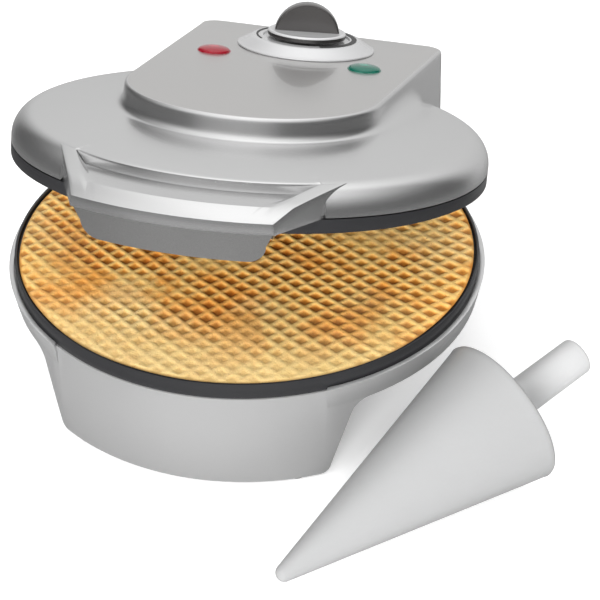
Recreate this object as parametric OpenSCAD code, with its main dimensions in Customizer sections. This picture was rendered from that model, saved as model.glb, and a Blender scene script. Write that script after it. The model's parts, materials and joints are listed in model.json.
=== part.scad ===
// Waffle cone maker: a hinged pair of heated baking plates with a loose cone former.
// Millimetres. The origin is on the table, under the axis of the round plates.
// +Z is up, -Y is the front where the handle is, and the hinge is at the rear.
// Lid pieces are drawn closed and turned about the hinge by lid_open.

/* [Lid position] */
// How far the lid stands open, in degrees
lid_open = 16.8; // [0:0.1:60]

/* [Baking plates] */
// Radius of the baked wafer
wafer_r = 111.8; // [90:0.2:140]
// Thickness of the wafer
wafer_t = 2.2; // [1.6:0.1:2.4]
// Gap between the wafer's edge and the rim
wafer_gap = 0.6; // [0.3:0.1:1.5]
// Width of the rim round each plate
rim_w = 1.3; // [1:0.1:4]
// Height of the dark band of each plate
band_h = 8; // [6:0.5:12]
// Depth of the lower baking face below its rim
recess = 2.6; // [2.5:0.1:4]
// Height of the lower rim above the table
plate_top = 58; // [52:0.5:80]
// Thickness of the baking plates
plate_t = 4; // [3:0.1:4.6]
// Gap between the two rims with the lid closed
rim_gap = 1.9; // [1:0.1:3]

/* [Base] */
// Wall thickness of the mouldings
wall = 2.5; // [2:0.1:3]
// Width of the groove round the lower plate
lip_gap = 0.9; // [0.8:0.1:2]
// Thickness of the lip outside that groove
lip_w = 2.2; // [2:0.1:4]
// Height of the lip above the plate's seat
lip_rise = 2; // [1:0.1:4]
// How far the skirt's lower edge is below the plate's rim
skirt_drop = 18; // [15:0.5:22]
// How far the bowl's underside stays inside the plate's edge
bowl_inset = 27.7; // [24:0.1:44]
// Height of the bowl's underside
bowl_z = 15; // [12:0.5:20]
// Half width of the front leg at the table
leg_half_w = 64.5; // [40:0.5:72]
// Lean of the leg's side edges, in degrees
leg_tilt = 15.8; // [5:0.1:20]
// Depth of the leg behind its front face
leg_depth = 20; // [16:1:24]
// Fillet where the leg meets the skirt
leg_fillet = 8; // [4:0.5:10]

/* [Hinge] */
// Distance of the hinge axis behind the plate's edge
hinge_back = 27.1; // [24:0.1:40]
// How far the hinge axis is below the lower plate's rim
hinge_drop = 4.1; // [2:0.1:6]
// Radius of the hinge pins
pin_r = 3; // [2.5:0.1:4]
// Running clearance of the pins
pin_clear = 0.05; // [0.02:0.01:0.1]
// Radius of the hinge lugs and arms round the pins
knuckle_r = 7; // [6:0.1:7.5]

/* [Lid] */
// Height of the dome's crown above the lower plate's rim with the lid closed
dome_rise = 30; // [28:0.5:38]
// Fall of the dome from its middle to the start of its rounded edge
dome_fall = 9.1; // [4:0.1:14]
// Radius of the rounding at the dome's edge
edge_r = 12; // [6:0.5:14]
// Radius of the tower's round front
tower_r = 61.6; // [56:0.1:70]
// Half width of the tower at its rear
tower_rear_w = 67; // [60:0.2:72]
// Widening of the tower from top to foot, on each side
tower_draft = 2.8; // [0:0.1:4]
// Height of the tower's flat top above the lower plate's rim
tower_rise = 37.5; // [35:0.5:60]
// Rounding of the tower's top edge
tower_edge = 2; // [1:0.1:3]

/* [Controls] */
// Distance of the dial in front of the hinge axis
dial_ahead = 40.8; // [38:0.2:46]
// Radius of the bezel's foot
bezel_r = 36; // [30:0.5:36]
// Radius of the bezel's top face
bezel_top_r = 27.6; // [24:0.2:32]
// Height of the bezel
bezel_h = 5.2; // [3:0.1:8]
// Radius of the knob
knob_r = 20.5; // [18:0.2:23]
// Height of the knob's disc
knob_disc_h = 3.2; // [2:0.1:6]
// Height of the grip fin above the disc
fin_h = 14.3; // [10:0.1:24]
// Half width of the grip fin
fin_half_w = 16.8; // [14:0.1:20]
// Thickness of the grip fin
fin_t = 8.4; // [6:0.2:14]
// Turn of the knob's grip at rest, seen from above
knob_turn = 15; // [0:1:40]
// Radius of the thermostat's shaft
shaft_r = 3; // [2.5:0.1:4]
// Sideways distance of the lamps
lamp_x = 39.4; // [34:0.2:44]
// Distance of the lamps in front of the hinge axis
lamp_ahead = 77.2; // [76:0.2:88]
// Radius of the lamp lenses
lamp_r = 8.6; // [6:0.1:10]

/* [Handle] */
// How far the handle's rear edge, behind the groove, is inside the plate's edge
handle_overlap = 7.5; // [5:0.1:12]
// How far the handle's front stands out from the plate's edge
handle_reach = 19.3; // [15:0.1:36]
// Width of the bevel along the handle's front
bevel_w = 8; // [4:0.5:11]
// Half width of the handle at its rear
handle_half_w = 69.5; // [50:0.1:76]
// How far inside the plate's edge that width is taken
handle_root = 38.2; // [34:0.1:44]
// Sideways run of the cheeks for each millimetre forward
cheek_slope = 0.505; // [0.2:0.001:0.6]
// Depth of the apron under the grip
apron_h = 14; // [8:0.5:15]

/* [Cone former] */
// Base radius of the cone
cone_r = 35.7; // [25:0.1:40]
// Length of the cone
cone_len = 142.5; // [120:0.5:160]
// Rounding of the tip
cone_tip_r = 4; // [3:0.5:6]
// Wall of the cone
cone_wall = 2.2; // [1.6:0.1:3]
// Radius of the cone's handle
cone_handle_r = 8.9; // [7:0.1:12]
// Length of the cone's handle
cone_handle_len = 46.7; // [30:0.1:70]
// Place of the sharp tip on the table, sideways, in plate radii
cone_side = 0.467; // [0.4:0.001:0.7]
// Place of the sharp tip on the table, in front of the axis, in plate radii
cone_ahead = 1.5594; // [1.5:0.0001:1.9]
// Heading of the cone, in degrees from +X
cone_heading = 50.9; // [40:0.1:60]

/* [Hidden] */
$fn = 96;
eps = 0.01;
fit_gap = 0.1;      // between pieces that sit in each other
air_gap = 0.5;      // between pieces that only pass each other

// plates
plate_r = wafer_r + wafer_gap + rim_w;
bowl_r = plate_r - bowl_inset;
hinge_y = plate_r + hinge_back;
hinge_z = plate_top - hinge_drop;
skirt_z = plate_top - skirt_drop;
dome_top = plate_top + dome_rise;
tower_top = plate_top + tower_rise;
dial_y = hinge_y - dial_ahead;
lamp_y = hinge_y - lamp_ahead;
handle_in_r = plate_r - handle_overlap;
handle_r = plate_r + handle_reach;
bevel_r = handle_r - bevel_w;
handle_root_y = plate_r - handle_root;
cone_x = cone_side * plate_r;
cone_y = cone_ahead * plate_r;
seat_z = plate_top - band_h;
bake_z = plate_top - recess;
plate_body_r = plate_r - 4.5;
upper_rim_z = plate_top + rim_gap;
upper_face_z = upper_rim_z - 1.6;
upper_face_r = wafer_r - 0.8;
upper_band_top = upper_rim_z + band_h - 2.4;
upper_back_z = upper_band_top + 2.5;
plate_low_z = bake_z - plate_t;
upper_plate_back = upper_face_z + plate_t;
post_r = 4;
heater_r = plate_r - 38.7;
heater_tube_r = 3.3;
heater_gap_deg = 50;
heater_leg = 9;
sheet_t = 0.8;
reflector_gap = 1;
upper_post_r = plate_r - 53.7;
upper_reflector_z = upper_band_top + 8.5;
upper_reflector_r = plate_r - 18.7;

// base
lip_in_r = plate_r + lip_gap;
lip_out_r = lip_in_r + lip_w;
lip_top = seat_z + lip_rise;
skirt_out_r = lip_out_r - 2.3;
skirt_in_r = skirt_out_r - wall;
leg_r = plate_r + 0.7;
foot_h = 1.2;
foot_r = 5.5;
foot_sink = 1.5;
foot_arc_r = leg_r - foot_r - 1;
foot_deg = 27.5;
housing_w = 60;
housing_back = hinge_y + 6.2;
housing_top = hinge_z - knuckle_r - 1.9;
housing_corner = 9;
housing_front = bowl_r + 4;
flange_in_r = bowl_r - 14;
cover_screw_r = bowl_r - 8;
cover_t = wall;
cover_low = foot_h + 2;
plate_post_r = plate_r - 21.7;
plate_post_z = seat_z - 11.8;
plate_post_low = bowl_z + 7.5;
plate_screw_in = 8.3;     // how far the plate's screws reach above their seats in the base
plate_screw_h = plate_post_z - plate_post_low + plate_screw_in;
shelf_in_r = skirt_in_r - 9.5;
bowl_lean = (shelf_in_r - bowl_r + wall) / (seat_z - bowl_z - wall);
lower_reflector_r = bowl_r - wall + (plate_post_z - bowl_z - wall) * bowl_lean - reflector_gap;
rear_foot_x = 40;
rear_foot_y = hinge_y - 8.8;
cord_z = 24;
gland_r = 5;
rail_w = 7;

// screws
screw_r = 1.5;
screw_hole_r = 1.6;
screw_head_r = 3;
screw_head_h = 1.8;
boss_r = 4;

// hinge
lug_in = 38;
lug_w = 10;
arm_gap = 0.6;
arm_w = 7.4;
arm_t = 4.4;
arm_front = hinge_y - 9.8;
arm_top = plate_top + 24;
arm_mid = lug_in + lug_w + arm_gap + arm_w / 2;
arm_screw_low = plate_top + 10;
arm_screw_high = plate_top + 19;

// lid
edge_c = plate_r + 0.2 - edge_r;
dome_r = (pow(edge_c, 2) + pow(dome_fall, 2)) / (2 * dome_fall);
dome_c = dome_top - dome_r;
edge_z = dome_c + sqrt(pow(dome_r - edge_r, 2) - pow(edge_c, 2));
cheek_top = edge_z + sqrt(pow(edge_r, 2) - pow(handle_in_r - edge_c, 2));
lid_low = upper_band_top + 0.6;
tower_low = hinge_z + knuckle_r + 1.2;
tower_back = hinge_y + 0.2;
tower_corner = 10;
rear_lug_x = 30;
front_lug_x = 22;
lug_half_w = 5;
lug_t = 2.5;
rear_lug_y = plate_r + 4.5;
rear_cover_z = tower_low + 0.3;
rear_cover_t = 1.2;

// controls
panel_in = tower_top - wall;
bezel_top = tower_top + bezel_h;
bezel_t = 2;
neck_r = 5;
thermostat_r = 14;
thermostat_h = 12;
knob_gap = 0.4;
knob_low = bezel_top + knob_gap;
fin_r = (pow(fin_half_w, 2) + pow(fin_h, 2)) / (2 * fin_h);
lens_h = 2.6;
lens_stem = 6;
lens_curve = (pow(lamp_r, 2) + pow(lens_h, 2)) / (2 * lens_h);
scale_out_r = 26.4;
scale_start = 220;
scale_sweep = 280;
scale_thin = 0.8;
scale_thick = 3.2;
scale_t = 0.3;

// handle
grip_top = upper_rim_z + 15.6;
bevel_top = grip_top - 1.4;
bevel_low = bevel_top - 4.8;
grip_low = bevel_low - 5.1;
apron_low = grip_low - apron_h;
apron_r = handle_r - 2;
apron_lean = 5;
grip_screw_x = 35;
grip_screw_y = plate_r - 19.7;
tongue_t = 2.2;
cheek_end_w = 7;

// cone former
cone_lift = atan(cone_r / cone_len);
cap_in = 2;
cone_edge = 1.6;

function arc(cx, cy, r, a0, a1, n) =
    [for (i = [0:n]) [cx + r * cos(a0 + (a1 - a0) * i / n), cy + r * sin(a0 + (a1 - a0) * i / n)]];
function mirrored(pts) = [for (i = [len(pts) - 1:-1:0]) [-pts[i][0], pts[i][1]]];

// ---- shared shapes ----

module ring(r_in, r_out, z0, z1) {
    translate([0, 0, z0])
        difference() {
            cylinder(r = r_out, h = z1 - z0, $fn = 180);
            translate([0, 0, -eps]) cylinder(r = r_in, h = z1 - z0 + 2 * eps, $fn = 180);
        }
}

// screw standing on its head: head below z, shaft upwards
module screw_up(x, y, z, length) {
    translate([x, y, z - screw_head_h]) cylinder(r = screw_head_r, h = screw_head_h, $fn = 32);
    translate([x, y, z - eps]) cylinder(r = screw_r, h = length, $fn = 32);
}

module hole_up(x, y, z0, z1) {
    translate([x, y, z0]) cylinder(r = screw_hole_r, h = z1 - z0, $fn = 32);
}

module in_lid() {
    translate([0, hinge_y, hinge_z])
        rotate([-lid_open, 0, 0])
            translate([0, -hinge_y, -hinge_z]) children();
}

module both_sides() {
    children();
    mirror([1, 0, 0]) children();
}

// ---- base ----

// side view of the leg: half width w at the table, foot at z0, open above into the skirt
function leg_half(w, z0, z1, fillet) =
    let (slope = tan(leg_tilt), corner = 4)
    let (cx = w + slope * (z0 + corner) - corner / cos(leg_tilt))
    let (fx = w + slope * (z1 - fillet) + fillet / cos(leg_tilt))
    concat(arc(cx, z0 + corner, corner, -90, -leg_tilt, 4),
        arc(fx, z1 - fillet, fillet, 180 - leg_tilt, 90, 6),
        [[fx, seat_z]]);

module leg_outline(w, z0, z1, fillet) {
    half = leg_half(w, z0, z1, fillet);
    translate([0, -housing_front + 60, 0])
        rotate([90, 0, 0])
            linear_extrude(height = 160) polygon(concat(half, mirrored(half)));
}

module front_leg() {
    difference() {
        intersection() {
            union() {
                ring(leg_r - leg_depth, leg_r, 0, seat_z - wall);
                ring(leg_r - wall, leg_r, 0, seat_z);
            }
            leg_outline(leg_half_w, foot_h, skirt_z, leg_fillet);
        }
        intersection() {
            ring(leg_r - leg_depth - 1, leg_r - wall, 0, seat_z - wall);
            leg_outline(leg_half_w - wall, foot_h + wall, skirt_z + wall, leg_fillet - wall);
        }
        bowl_inside();
        for (a = [-foot_deg, foot_deg])
            rotate([0, 0, a])
                translate([0, -foot_arc_r, 0]) cylinder(r = foot_r + fit_gap, h = foot_h + foot_sink, $fn = 48);
    }
}

module housing_outline(inset) {
    w = housing_w - inset;
    back = housing_back - inset;
    corner = housing_corner - inset;
    polygon(concat(arc(w - corner, back - corner, corner, 0, 90, 6),
        arc(-w + corner, back - corner, corner, 90, 180, 6),
        [[-w, housing_front], [w, housing_front]]));
}

module rear_housing() {
    difference() {
        translate([0, 0, foot_h]) linear_extrude(height = housing_top - foot_h) housing_outline(0);
        translate([0, -eps, foot_h - eps])
            linear_extrude(height = housing_top - foot_h - wall) housing_outline(wall);
        // way for the cord gland through the rear wall
        translate([0, housing_back + 1, cord_z])
            rotate([90, 0, 0]) cylinder(r = gland_r + fit_gap, h = wall + 2, $fn = 48);
    }
    // rails that the housing cover screws to
    both_sides()
        translate([housing_w - wall - rail_w, housing_back - 24, cover_low + cover_t + fit_gap]) cover_rail();
}

module cover_rail() {
    difference() {
        cube([rail_w + 0.5, 9, 10]);
        translate([rail_w / 2, 4.5, -eps]) cylinder(r = screw_hole_r, h = 8, $fn = 32);
    }
}

module hinge_lug() {
    difference() {
        union() {
            translate([lug_in, hinge_y, hinge_z]) rotate([0, 90, 0]) cylinder(r = knuckle_r, h = lug_w, $fn = 64);
            translate([lug_in, hinge_y - knuckle_r, housing_top - 1])
                cube([lug_w, knuckle_r + 6.2, hinge_z - housing_top]);
        }
        translate([lug_in - 1, hinge_y, hinge_z])
            rotate([0, 90, 0]) cylinder(r = pin_r + pin_clear, h = lug_w + 2, $fn = 64);
    }
}

module bowl() {
    rotate_extrude($fn = 180)
        polygon([[lip_out_r, lip_top], [skirt_out_r, skirt_z], [skirt_in_r, skirt_z],
            [skirt_in_r, seat_z - wall], [shelf_in_r + 3.5, seat_z - wall],
            [bowl_r, bowl_z], [flange_in_r, bowl_z], [flange_in_r, bowl_z + wall],
            [bowl_r - wall, bowl_z + wall], [shelf_in_r, seat_z],
            [lip_in_r, seat_z], [lip_in_r, lip_top]]);
}

module bowl_inside() {
    translate([0, 0, bowl_z + wall])
        cylinder(r1 = bowl_r - wall, r2 = shelf_in_r, h = seat_z - bowl_z - wall, $fn = 180);
}

module plate_posts_low() {
    for (a = [30, 150, 270])
        rotate([0, 0, a])
            translate([plate_post_r, 0, plate_post_low])
                cylinder(r = boss_r + 0.5, h = plate_post_z - plate_post_low, $fn = 48);
}

module base_shell() {
    color([0.78, 0.78, 0.79])
        difference() {
            union() {
                difference() {
                    bowl();
                    // the lip is left out over the front leg
                    intersection() {
                        ring(leg_r, lip_out_r + 5, skirt_z - 1, lip_top + 1);
                        translate([-leg_half_w, -lip_out_r - 10, 0]) cube([2 * leg_half_w, lip_out_r, 80]);
                    }
                    // the bowl opens into the housing for the wiring
                    translate([-12, housing_front - 30, bowl_z + 5]) cube([24, 40, 12]);
                }
                front_leg();
                difference() {
                    rear_housing();
                    cylinder(r = shelf_in_r + 3.5, h = seat_z - wall, $fn = 180);
                }
                both_sides() hinge_lug();
                plate_posts_low();
                for (a = [45, 135, 225, 315])
                    rotate([0, 0, a]) translate([cover_screw_r, 0, bowl_z]) cylinder(r = boss_r, h = 9, $fn = 48);
            }
            for (a = [30, 150, 270])
                rotate([0, 0, a]) {
                    hole_up(plate_post_r, 0, bowl_z, plate_post_z + 1);
                    translate([plate_post_r, 0, 0])
                        cylinder(r = screw_head_r + air_gap, h = plate_post_low, $fn = 48);
                }
            for (a = [45, 135, 225, 315])
                rotate([0, 0, a]) hole_up(cover_screw_r, 0, bowl_z - 1, bowl_z + 7);
        }
}

module base_bottom_cover() {
    color([0.35, 0.35, 0.36])
        difference() {
            translate([0, 0, bowl_z - cover_t]) cylinder(r = bowl_r - 1.5, h = cover_t, $fn = 120);
            for (a = [45, 135, 225, 315])
                rotate([0, 0, a]) hole_up(cover_screw_r, 0, bowl_z - cover_t - 1, bowl_z + 1);
            // cooling slots
            for (i = [-3:3])
                translate([i * 9 - 1.5, -22, bowl_z - cover_t - 1]) cube([3, 44, cover_t + 2]);
        }
}

module housing_cover() {
    color([0.35, 0.35, 0.36])
        difference() {
            translate([0, 0, cover_low])
                linear_extrude(height = cover_t)
                    difference() {
                        housing_outline(wall + fit_gap);
                        circle(r = shelf_in_r + 3.5 + fit_gap, $fn = 180);
                    }
            both_sides() hole_up(housing_w - wall - rail_w / 2, housing_back - 19.5, cover_low - 1, cover_low + cover_t + 1);
            for (s = [-1, 1])
                translate([s * rear_foot_x, rear_foot_y, 0])
                    cylinder(r = foot_r + fit_gap, h = cover_low + foot_sink, $fn = 48);
        }
}

module rubber_feet() {
    color([0.12, 0.12, 0.12]) {
        for (a = [-foot_deg, foot_deg])
            rotate([0, 0, a]) translate([0, -foot_arc_r, 0]) cylinder(r = foot_r, h = foot_h + foot_sink, $fn = 48);
        for (s = [-1, 1])
            translate([s * rear_foot_x, rear_foot_y, 0]) cylinder(r = foot_r, h = cover_low + foot_sink, $fn = 48);
    }
}

module cover_screws() {
    color([0.6, 0.6, 0.62]) {
        for (a = [45, 135, 225, 315])
            rotate([0, 0, a]) screw_up(cover_screw_r, 0, bowl_z - cover_t, 8);
        both_sides() screw_up(housing_w - wall - rail_w / 2, housing_back - 19.5, cover_low, 9);
    }
}

module lower_plate() {
    color([0.16, 0.16, 0.17])
        difference() {
            union() {
                rotate_extrude($fn = 180)
                    polygon([[0, plate_low_z], [plate_body_r - 9, plate_low_z], [plate_body_r - 9, seat_z],
                        [plate_r, seat_z], [plate_r, plate_top], [plate_r - rim_w, plate_top],
                        [plate_r - rim_w, bake_z], [0, bake_z]]);
                for (a = [30, 150, 270])
                    rotate([0, 0, a])
                        translate([plate_post_r, 0, plate_post_z + sheet_t])
                            cylinder(r = post_r, h = plate_low_z - plate_post_z - sheet_t + eps, $fn = 48);
            }
            for (a = [30, 150, 270])
                rotate([0, 0, a]) hole_up(plate_post_r, 0, plate_post_z, plate_low_z);
        }
}

// tubular heater: a ring with a gap at the rear and two cold ends, centre at height z
module heater(z, up) {
    translate([0, 0, z]) {
        rotate([0, 0, 90 + heater_gap_deg / 2])
            rotate_extrude(angle = 360 - heater_gap_deg, $fn = 120)
                translate([heater_r, 0]) circle(r = heater_tube_r, $fn = 32);
        for (s = [-1, 1])
            rotate([0, 0, 90 + s * heater_gap_deg / 2])
                translate([heater_r, 0, up > 0 ? 0 : -heater_leg])
                    cylinder(r = 2, h = heater_leg, $fn = 32);
    }
}

module lower_heating_element() {
    color([0.55, 0.55, 0.52]) heater(plate_low_z - heater_tube_r - eps, -1);
}

module lower_reflector() {
    color([0.72, 0.73, 0.74])
        difference() {
            translate([0, 0, plate_post_z]) cylinder(r = lower_reflector_r, h = sheet_t, $fn = 120);
            for (a = [30, 150, 270])
                rotate([0, 0, a]) hole_up(plate_post_r, 0, plate_post_z - 1, plate_post_z + sheet_t + 1);
            for (s = [-1, 1])
                rotate([0, 0, 90 + s * heater_gap_deg / 2])
                    translate([heater_r, 0, plate_post_z - 1]) cylinder(r = 4, h = 4, $fn = 32);
        }
}

module lower_plate_screws() {
    color([0.6, 0.6, 0.62])
        for (a = [30, 150, 270])
            rotate([0, 0, a]) screw_up(plate_post_r, 0, plate_post_low, plate_screw_h);
}

module thermal_fuse() {
    color([0.85, 0.85, 0.82])
        translate([0, plate_post_r - 40, plate_post_z - 3.1]) rotate([0, 90, 0]) translate([0, 0, -9]) cylinder(r = 3, h = 18, $fn = 32);
}

module terminal_block() {
    color([0.92, 0.92, 0.9])
        difference() {
            translate([-16, housing_front + 27, cover_low + cover_t + fit_gap]) cube([32, 14, 12]);
            for (i = [-1:1])
                translate([i * 10, housing_front + 34, cover_low + cover_t + 7]) cylinder(r = 2.6, h = 8, $fn = 32);
        }
}

module cord_gland() {
    color([0.1, 0.1, 0.1])
        translate([0, housing_back + 2.4, cord_z])
            rotate([90, 0, 0])
                difference() {
                    union() {
                        cylinder(r = gland_r, h = wall + 5, $fn = 48);
                        cylinder(r = gland_r + 2, h = 2.3, $fn = 48);
                        translate([0, 0, 2.5 + wall]) cylinder(r = gland_r + 2, h = 2.5, $fn = 48);
                    }
                    translate([0, 0, -1]) cylinder(r = 3.4, h = wall + 7, $fn = 48);
                }
}

module hinge_pins() {
    color([0.7, 0.7, 0.72])
        both_sides()
            translate([lug_in - 1.5, hinge_y, hinge_z])
                rotate([0, 90, 0]) cylinder(r = pin_r, h = lug_w + arm_gap + arm_w + 2, $fn = 48);
}

// ---- lid ----

// solid dome, shrunk by t for the inside of its wall
module dome(t) {
    rotate_extrude($fn = 180)
        union() {
            intersection() {
                translate([0, dome_c]) circle(r = dome_r - t, $fn = 720);
                translate([0, lid_low - t]) square([edge_c, dome_top]);
            }
            intersection() {
                translate([edge_c, edge_z]) circle(r = edge_r - t, $fn = 64);
                translate([edge_c - 1, lid_low - t]) square([edge_r + 2, edge_r * 2 + 8]);
            }
        }
}

// plan of the tower: round front, sides that widen a little, rounded rear corners
module tower_outline(grow) {
    w = tower_rear_w + grow;
    r = tower_r + grow;
    back = tower_back;
    polygon(concat(arc(0, 0, r, 180, 360, 32),
        [[w - 0.4, back - tower_corner]],
        arc(w - tower_corner, back - tower_corner, tower_corner, 0, 90, 6),
        arc(-w + tower_corner, back - tower_corner, tower_corner, 90, 180, 6),
        [[-w + 0.4, back - tower_corner]]));
}

module tower_slice(grow, inset, z) {
    translate([0, 0, z])
        linear_extrude(height = eps) offset(delta = -inset) tower_outline(grow);
}

module tower(t) {
    low = tower_low - (t > 0 ? 1 : 0);
    top = tower_top - t;
    edge = t > 0 ? 0.5 : tower_edge;
    hull() {
        tower_slice(tower_draft, t, low);
        for (a = [0, 30, 60, 90])
            tower_slice(0, t + edge * (1 - cos(a)), top - edge + edge * sin(a) - eps);
    }
}

// the handle's plan: two straight cheeks, wide behind and narrow in front
module handle_plan(inset, y0, y1) {
    function half(y) = handle_half_w - cheek_slope * (y - handle_root_y) - inset;
    polygon([[-half(y0), -y0], [-half(y1), -y1], [half(y1), -y1], [half(y0), -y0]]);
}

module handle_block(inset, z0, z1) {
    translate([0, 0, z0]) linear_extrude(height = z1 - z0) handle_plan(inset, 60, handle_r + 10);
}

module lid_bosses() {
    for (s = [-1, 1])
        translate([s * rear_lug_x, rear_lug_y, upper_back_z]) cylinder(r = boss_r, h = panel_in - upper_back_z + eps, $fn = 48);
    for (s = [-1, 1])
        translate([s * grip_screw_x, -grip_screw_y, grip_top - 0.2]) cylinder(r = boss_r, h = 3.2, $fn = 48);
    // blocks on the rear wall that take the hinge arms' screws
    for (s = [-1, 1])
        for (z = [arm_screw_low, arm_screw_high])
            translate([s * arm_mid, arm_front + arm_t, z]) rotate([-90, 0, 0]) cylinder(r = boss_r - 0.6, h = 4.6, $fn = 48);
}

module lid_shell() {
    color([0.77, 0.77, 0.77])
        difference() {
            union() {
                difference() {
                    union() {
                        dome(0);
                        difference() {
                            tower(0);
                            translate([0, 0, tower_low - 2]) cylinder(r = plate_r + 1.2, h = lid_low - tower_low + 2, $fn = 180);
                        }
                    }
                    dome(wall);
                    tower(wall);
                    // seat of the handle
                    intersection() {
                        ring(handle_in_r, handle_r, lid_low - 1, dome_top);
                        handle_block(0, lid_low - 1, dome_top);
                    }
                }
                lid_bosses();
            }
            translate([0, dial_y, panel_in - 1]) cylinder(r = neck_r + fit_gap, h = wall + 3, $fn = 48);
            for (s = [-1, 1])
                translate([s * lamp_x, lamp_y, panel_in - 1]) cylinder(r = lamp_r - 1, h = wall + 3, $fn = 48);
            for (s = [-1, 1]) {
                hole_up(s * rear_lug_x, rear_lug_y, upper_back_z - 1, upper_back_z + 12);
                hole_up(s * grip_screw_x, -grip_screw_y, grip_top - 1, grip_top + 2.4);
                for (z = [arm_screw_low, arm_screw_high])
                    translate([s * arm_mid, arm_front, z]) rotate([-90, 0, 0]) cylinder(r = screw_hole_r, h = arm_t + 4.2, $fn = 32);
            }
        }
}

module handle_upper() {
    color([0.8, 0.8, 0.81])
        difference() {
            union() {
                intersection() {
                    rotate_extrude($fn = 180)
                        polygon([[handle_in_r + 0.1, grip_low], [handle_r - 1, grip_low], [handle_r, bevel_low],
                            [bevel_r, bevel_top], [handle_in_r + 0.1, grip_top - 0.2]]);
                    handle_block(fit_gap, grip_low - 1, dome_top);
                }
                // the grip's ends rise to the dome
                intersection() {
                    rotate_extrude($fn = 180)
                        polygon([[handle_in_r + 0.1, bevel_low], [bevel_r, bevel_low], [bevel_r, bevel_top],
                            [handle_in_r + 0.1, cheek_top]]);
                    difference() {
                        handle_block(fit_gap, grip_low - 1, dome_top);
                        handle_block(cheek_end_w, grip_low - 2, dome_top + 1);
                    }
                }
                // tongue under the dome's edge
                intersection() {
                    ring(grip_screw_y + 2, handle_in_r + 0.2, grip_top - 0.2 - tongue_t, grip_top - 0.2);
                    handle_block(6, grip_low, dome_top);
                }
            }
            intersection() {
                rotate_extrude($fn = 180)
                    polygon([[handle_in_r + 0.1 + wall, grip_low - 1], [handle_r - 1 - wall, grip_low - 1],
                        [handle_r - wall, bevel_low - 1.6], [bevel_r - 1, bevel_top - wall],
                        [handle_in_r + 0.1 + wall, grip_top - 0.2 - wall]]);
                handle_block(fit_gap + wall, grip_low - 1, dome_top);
            }
            // way for the plate's rim, band and front lugs
            translate([0, 0, grip_low - 1]) cylinder(r = plate_r + 1, h = lid_low - grip_low + 1, $fn = 180);
            translate([0, 0, grip_low]) cylinder(r = plate_r - 3.3, h = upper_back_z + 0.4 - grip_low, $fn = 180);
            intersection() {
                ring(100, plate_r + 9, lid_low - 1, upper_back_z + 0.5);
                translate([-front_lug_x - 8, -handle_r, lid_low - 2]) cube([2 * front_lug_x + 16, 60, 8]);
            }
            for (s = [-1, 1])
                hole_up(s * grip_screw_x, -grip_screw_y, grip_top - 4, grip_top + 1);
        }
}

module handle_lower() {
    low_r = apron_r - apron_lean;
    color([0.74, 0.74, 0.75])
        intersection() {
            difference() {
                rotate_extrude($fn = 180)
                    polygon([[plate_r + 4.2, grip_low], [plate_r + 4.2, grip_low - wall],
                        [apron_r - wall - 0.6, grip_low - wall], [low_r - wall, apron_low],
                        [low_r, apron_low], [apron_r, grip_low]]);
                // access to the plate's front screws
                for (s = [-1, 1])
                    translate([s * front_lug_x, -rear_lug_y, grip_low - wall - 1])
                        cylinder(r = screw_head_r + air_gap, h = wall + 2, $fn = 48);
            }
            apron_face();
        }
}

// front view of the apron: wide above, rounded corners below
module apron_face() {
    top_w = handle_half_w - cheek_slope * (apron_r - 5 - handle_root_y);
    low_w = top_w - 3;
    corner = 8;
    translate([0, -plate_r, 0])
        rotate([90, 0, 0])
            linear_extrude(height = 60)
                polygon(concat([[-top_w, grip_low], [top_w, grip_low]],
                    arc(low_w - corner, apron_low + corner, corner, 0, -90, 6),
                    arc(-low_w + corner, apron_low + corner, corner, -90, -180, 6)));
}

module handle_screws() {
    color([0.6, 0.6, 0.62])
        for (s = [-1, 1])
            screw_up(s * grip_screw_x, -grip_screw_y, grip_top - 0.2 - tongue_t, 4.2);
}

module upper_plate() {
    color([0.16, 0.16, 0.17])
        difference() {
            union() {
                rotate_extrude($fn = 180)
                    polygon([[0, upper_face_z], [upper_face_r, upper_face_z], [upper_face_r, upper_rim_z],
                        [plate_r + 0.2, upper_rim_z], [plate_r + 0.2, upper_band_top],
                        [plate_r - 4, upper_band_top], [plate_r - 4, upper_back_z], [plate_r - 8, upper_back_z],
                        [plate_r - 8, upper_plate_back], [0, upper_plate_back]]);
                for (a = [90, 210, 330])
                    rotate([0, 0, a])
                        translate([upper_post_r, 0, upper_plate_back - eps])
                            cylinder(r = post_r, h = upper_reflector_z - upper_plate_back + eps, $fn = 48);
                for (s = [-1, 1]) {
                    translate([s * rear_lug_x - lug_half_w, plate_r - 8, upper_back_z - lug_t])
                        cube([2 * lug_half_w, rear_lug_y + 5 - plate_r + 8, lug_t - 0.1]);
                    translate([s * front_lug_x - lug_half_w, -rear_lug_y - 4, upper_back_z - lug_t])
                        cube([2 * lug_half_w, rear_lug_y + 4 - plate_r + 8, lug_t - 0.1]);
                }
            }
            for (a = [90, 210, 330])
                rotate([0, 0, a]) hole_up(upper_post_r, 0, upper_plate_back + 1, upper_reflector_z + 1);
            for (s = [-1, 1]) {
                hole_up(s * rear_lug_x, rear_lug_y, upper_rim_z, upper_back_z + 1);
                hole_up(s * front_lug_x, -rear_lug_y, upper_rim_z, upper_back_z + 1);
            }
        }
}

module upper_heating_element() {
    color([0.55, 0.55, 0.52]) heater(upper_plate_back + heater_tube_r + eps, 1);
}

module upper_reflector() {
    color([0.72, 0.73, 0.74])
        difference() {
            translate([0, 0, upper_reflector_z]) cylinder(r = upper_reflector_r, h = sheet_t, $fn = 120);
            for (a = [90, 210, 330])
                rotate([0, 0, a]) hole_up(upper_post_r, 0, upper_reflector_z - 1, upper_reflector_z + sheet_t + 1);
            for (s = [-1, 1])
                rotate([0, 0, 90 + s * heater_gap_deg / 2])
                    translate([heater_r, 0, upper_reflector_z - 1]) cylinder(r = 4, h = 4, $fn = 32);
        }
}

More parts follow.
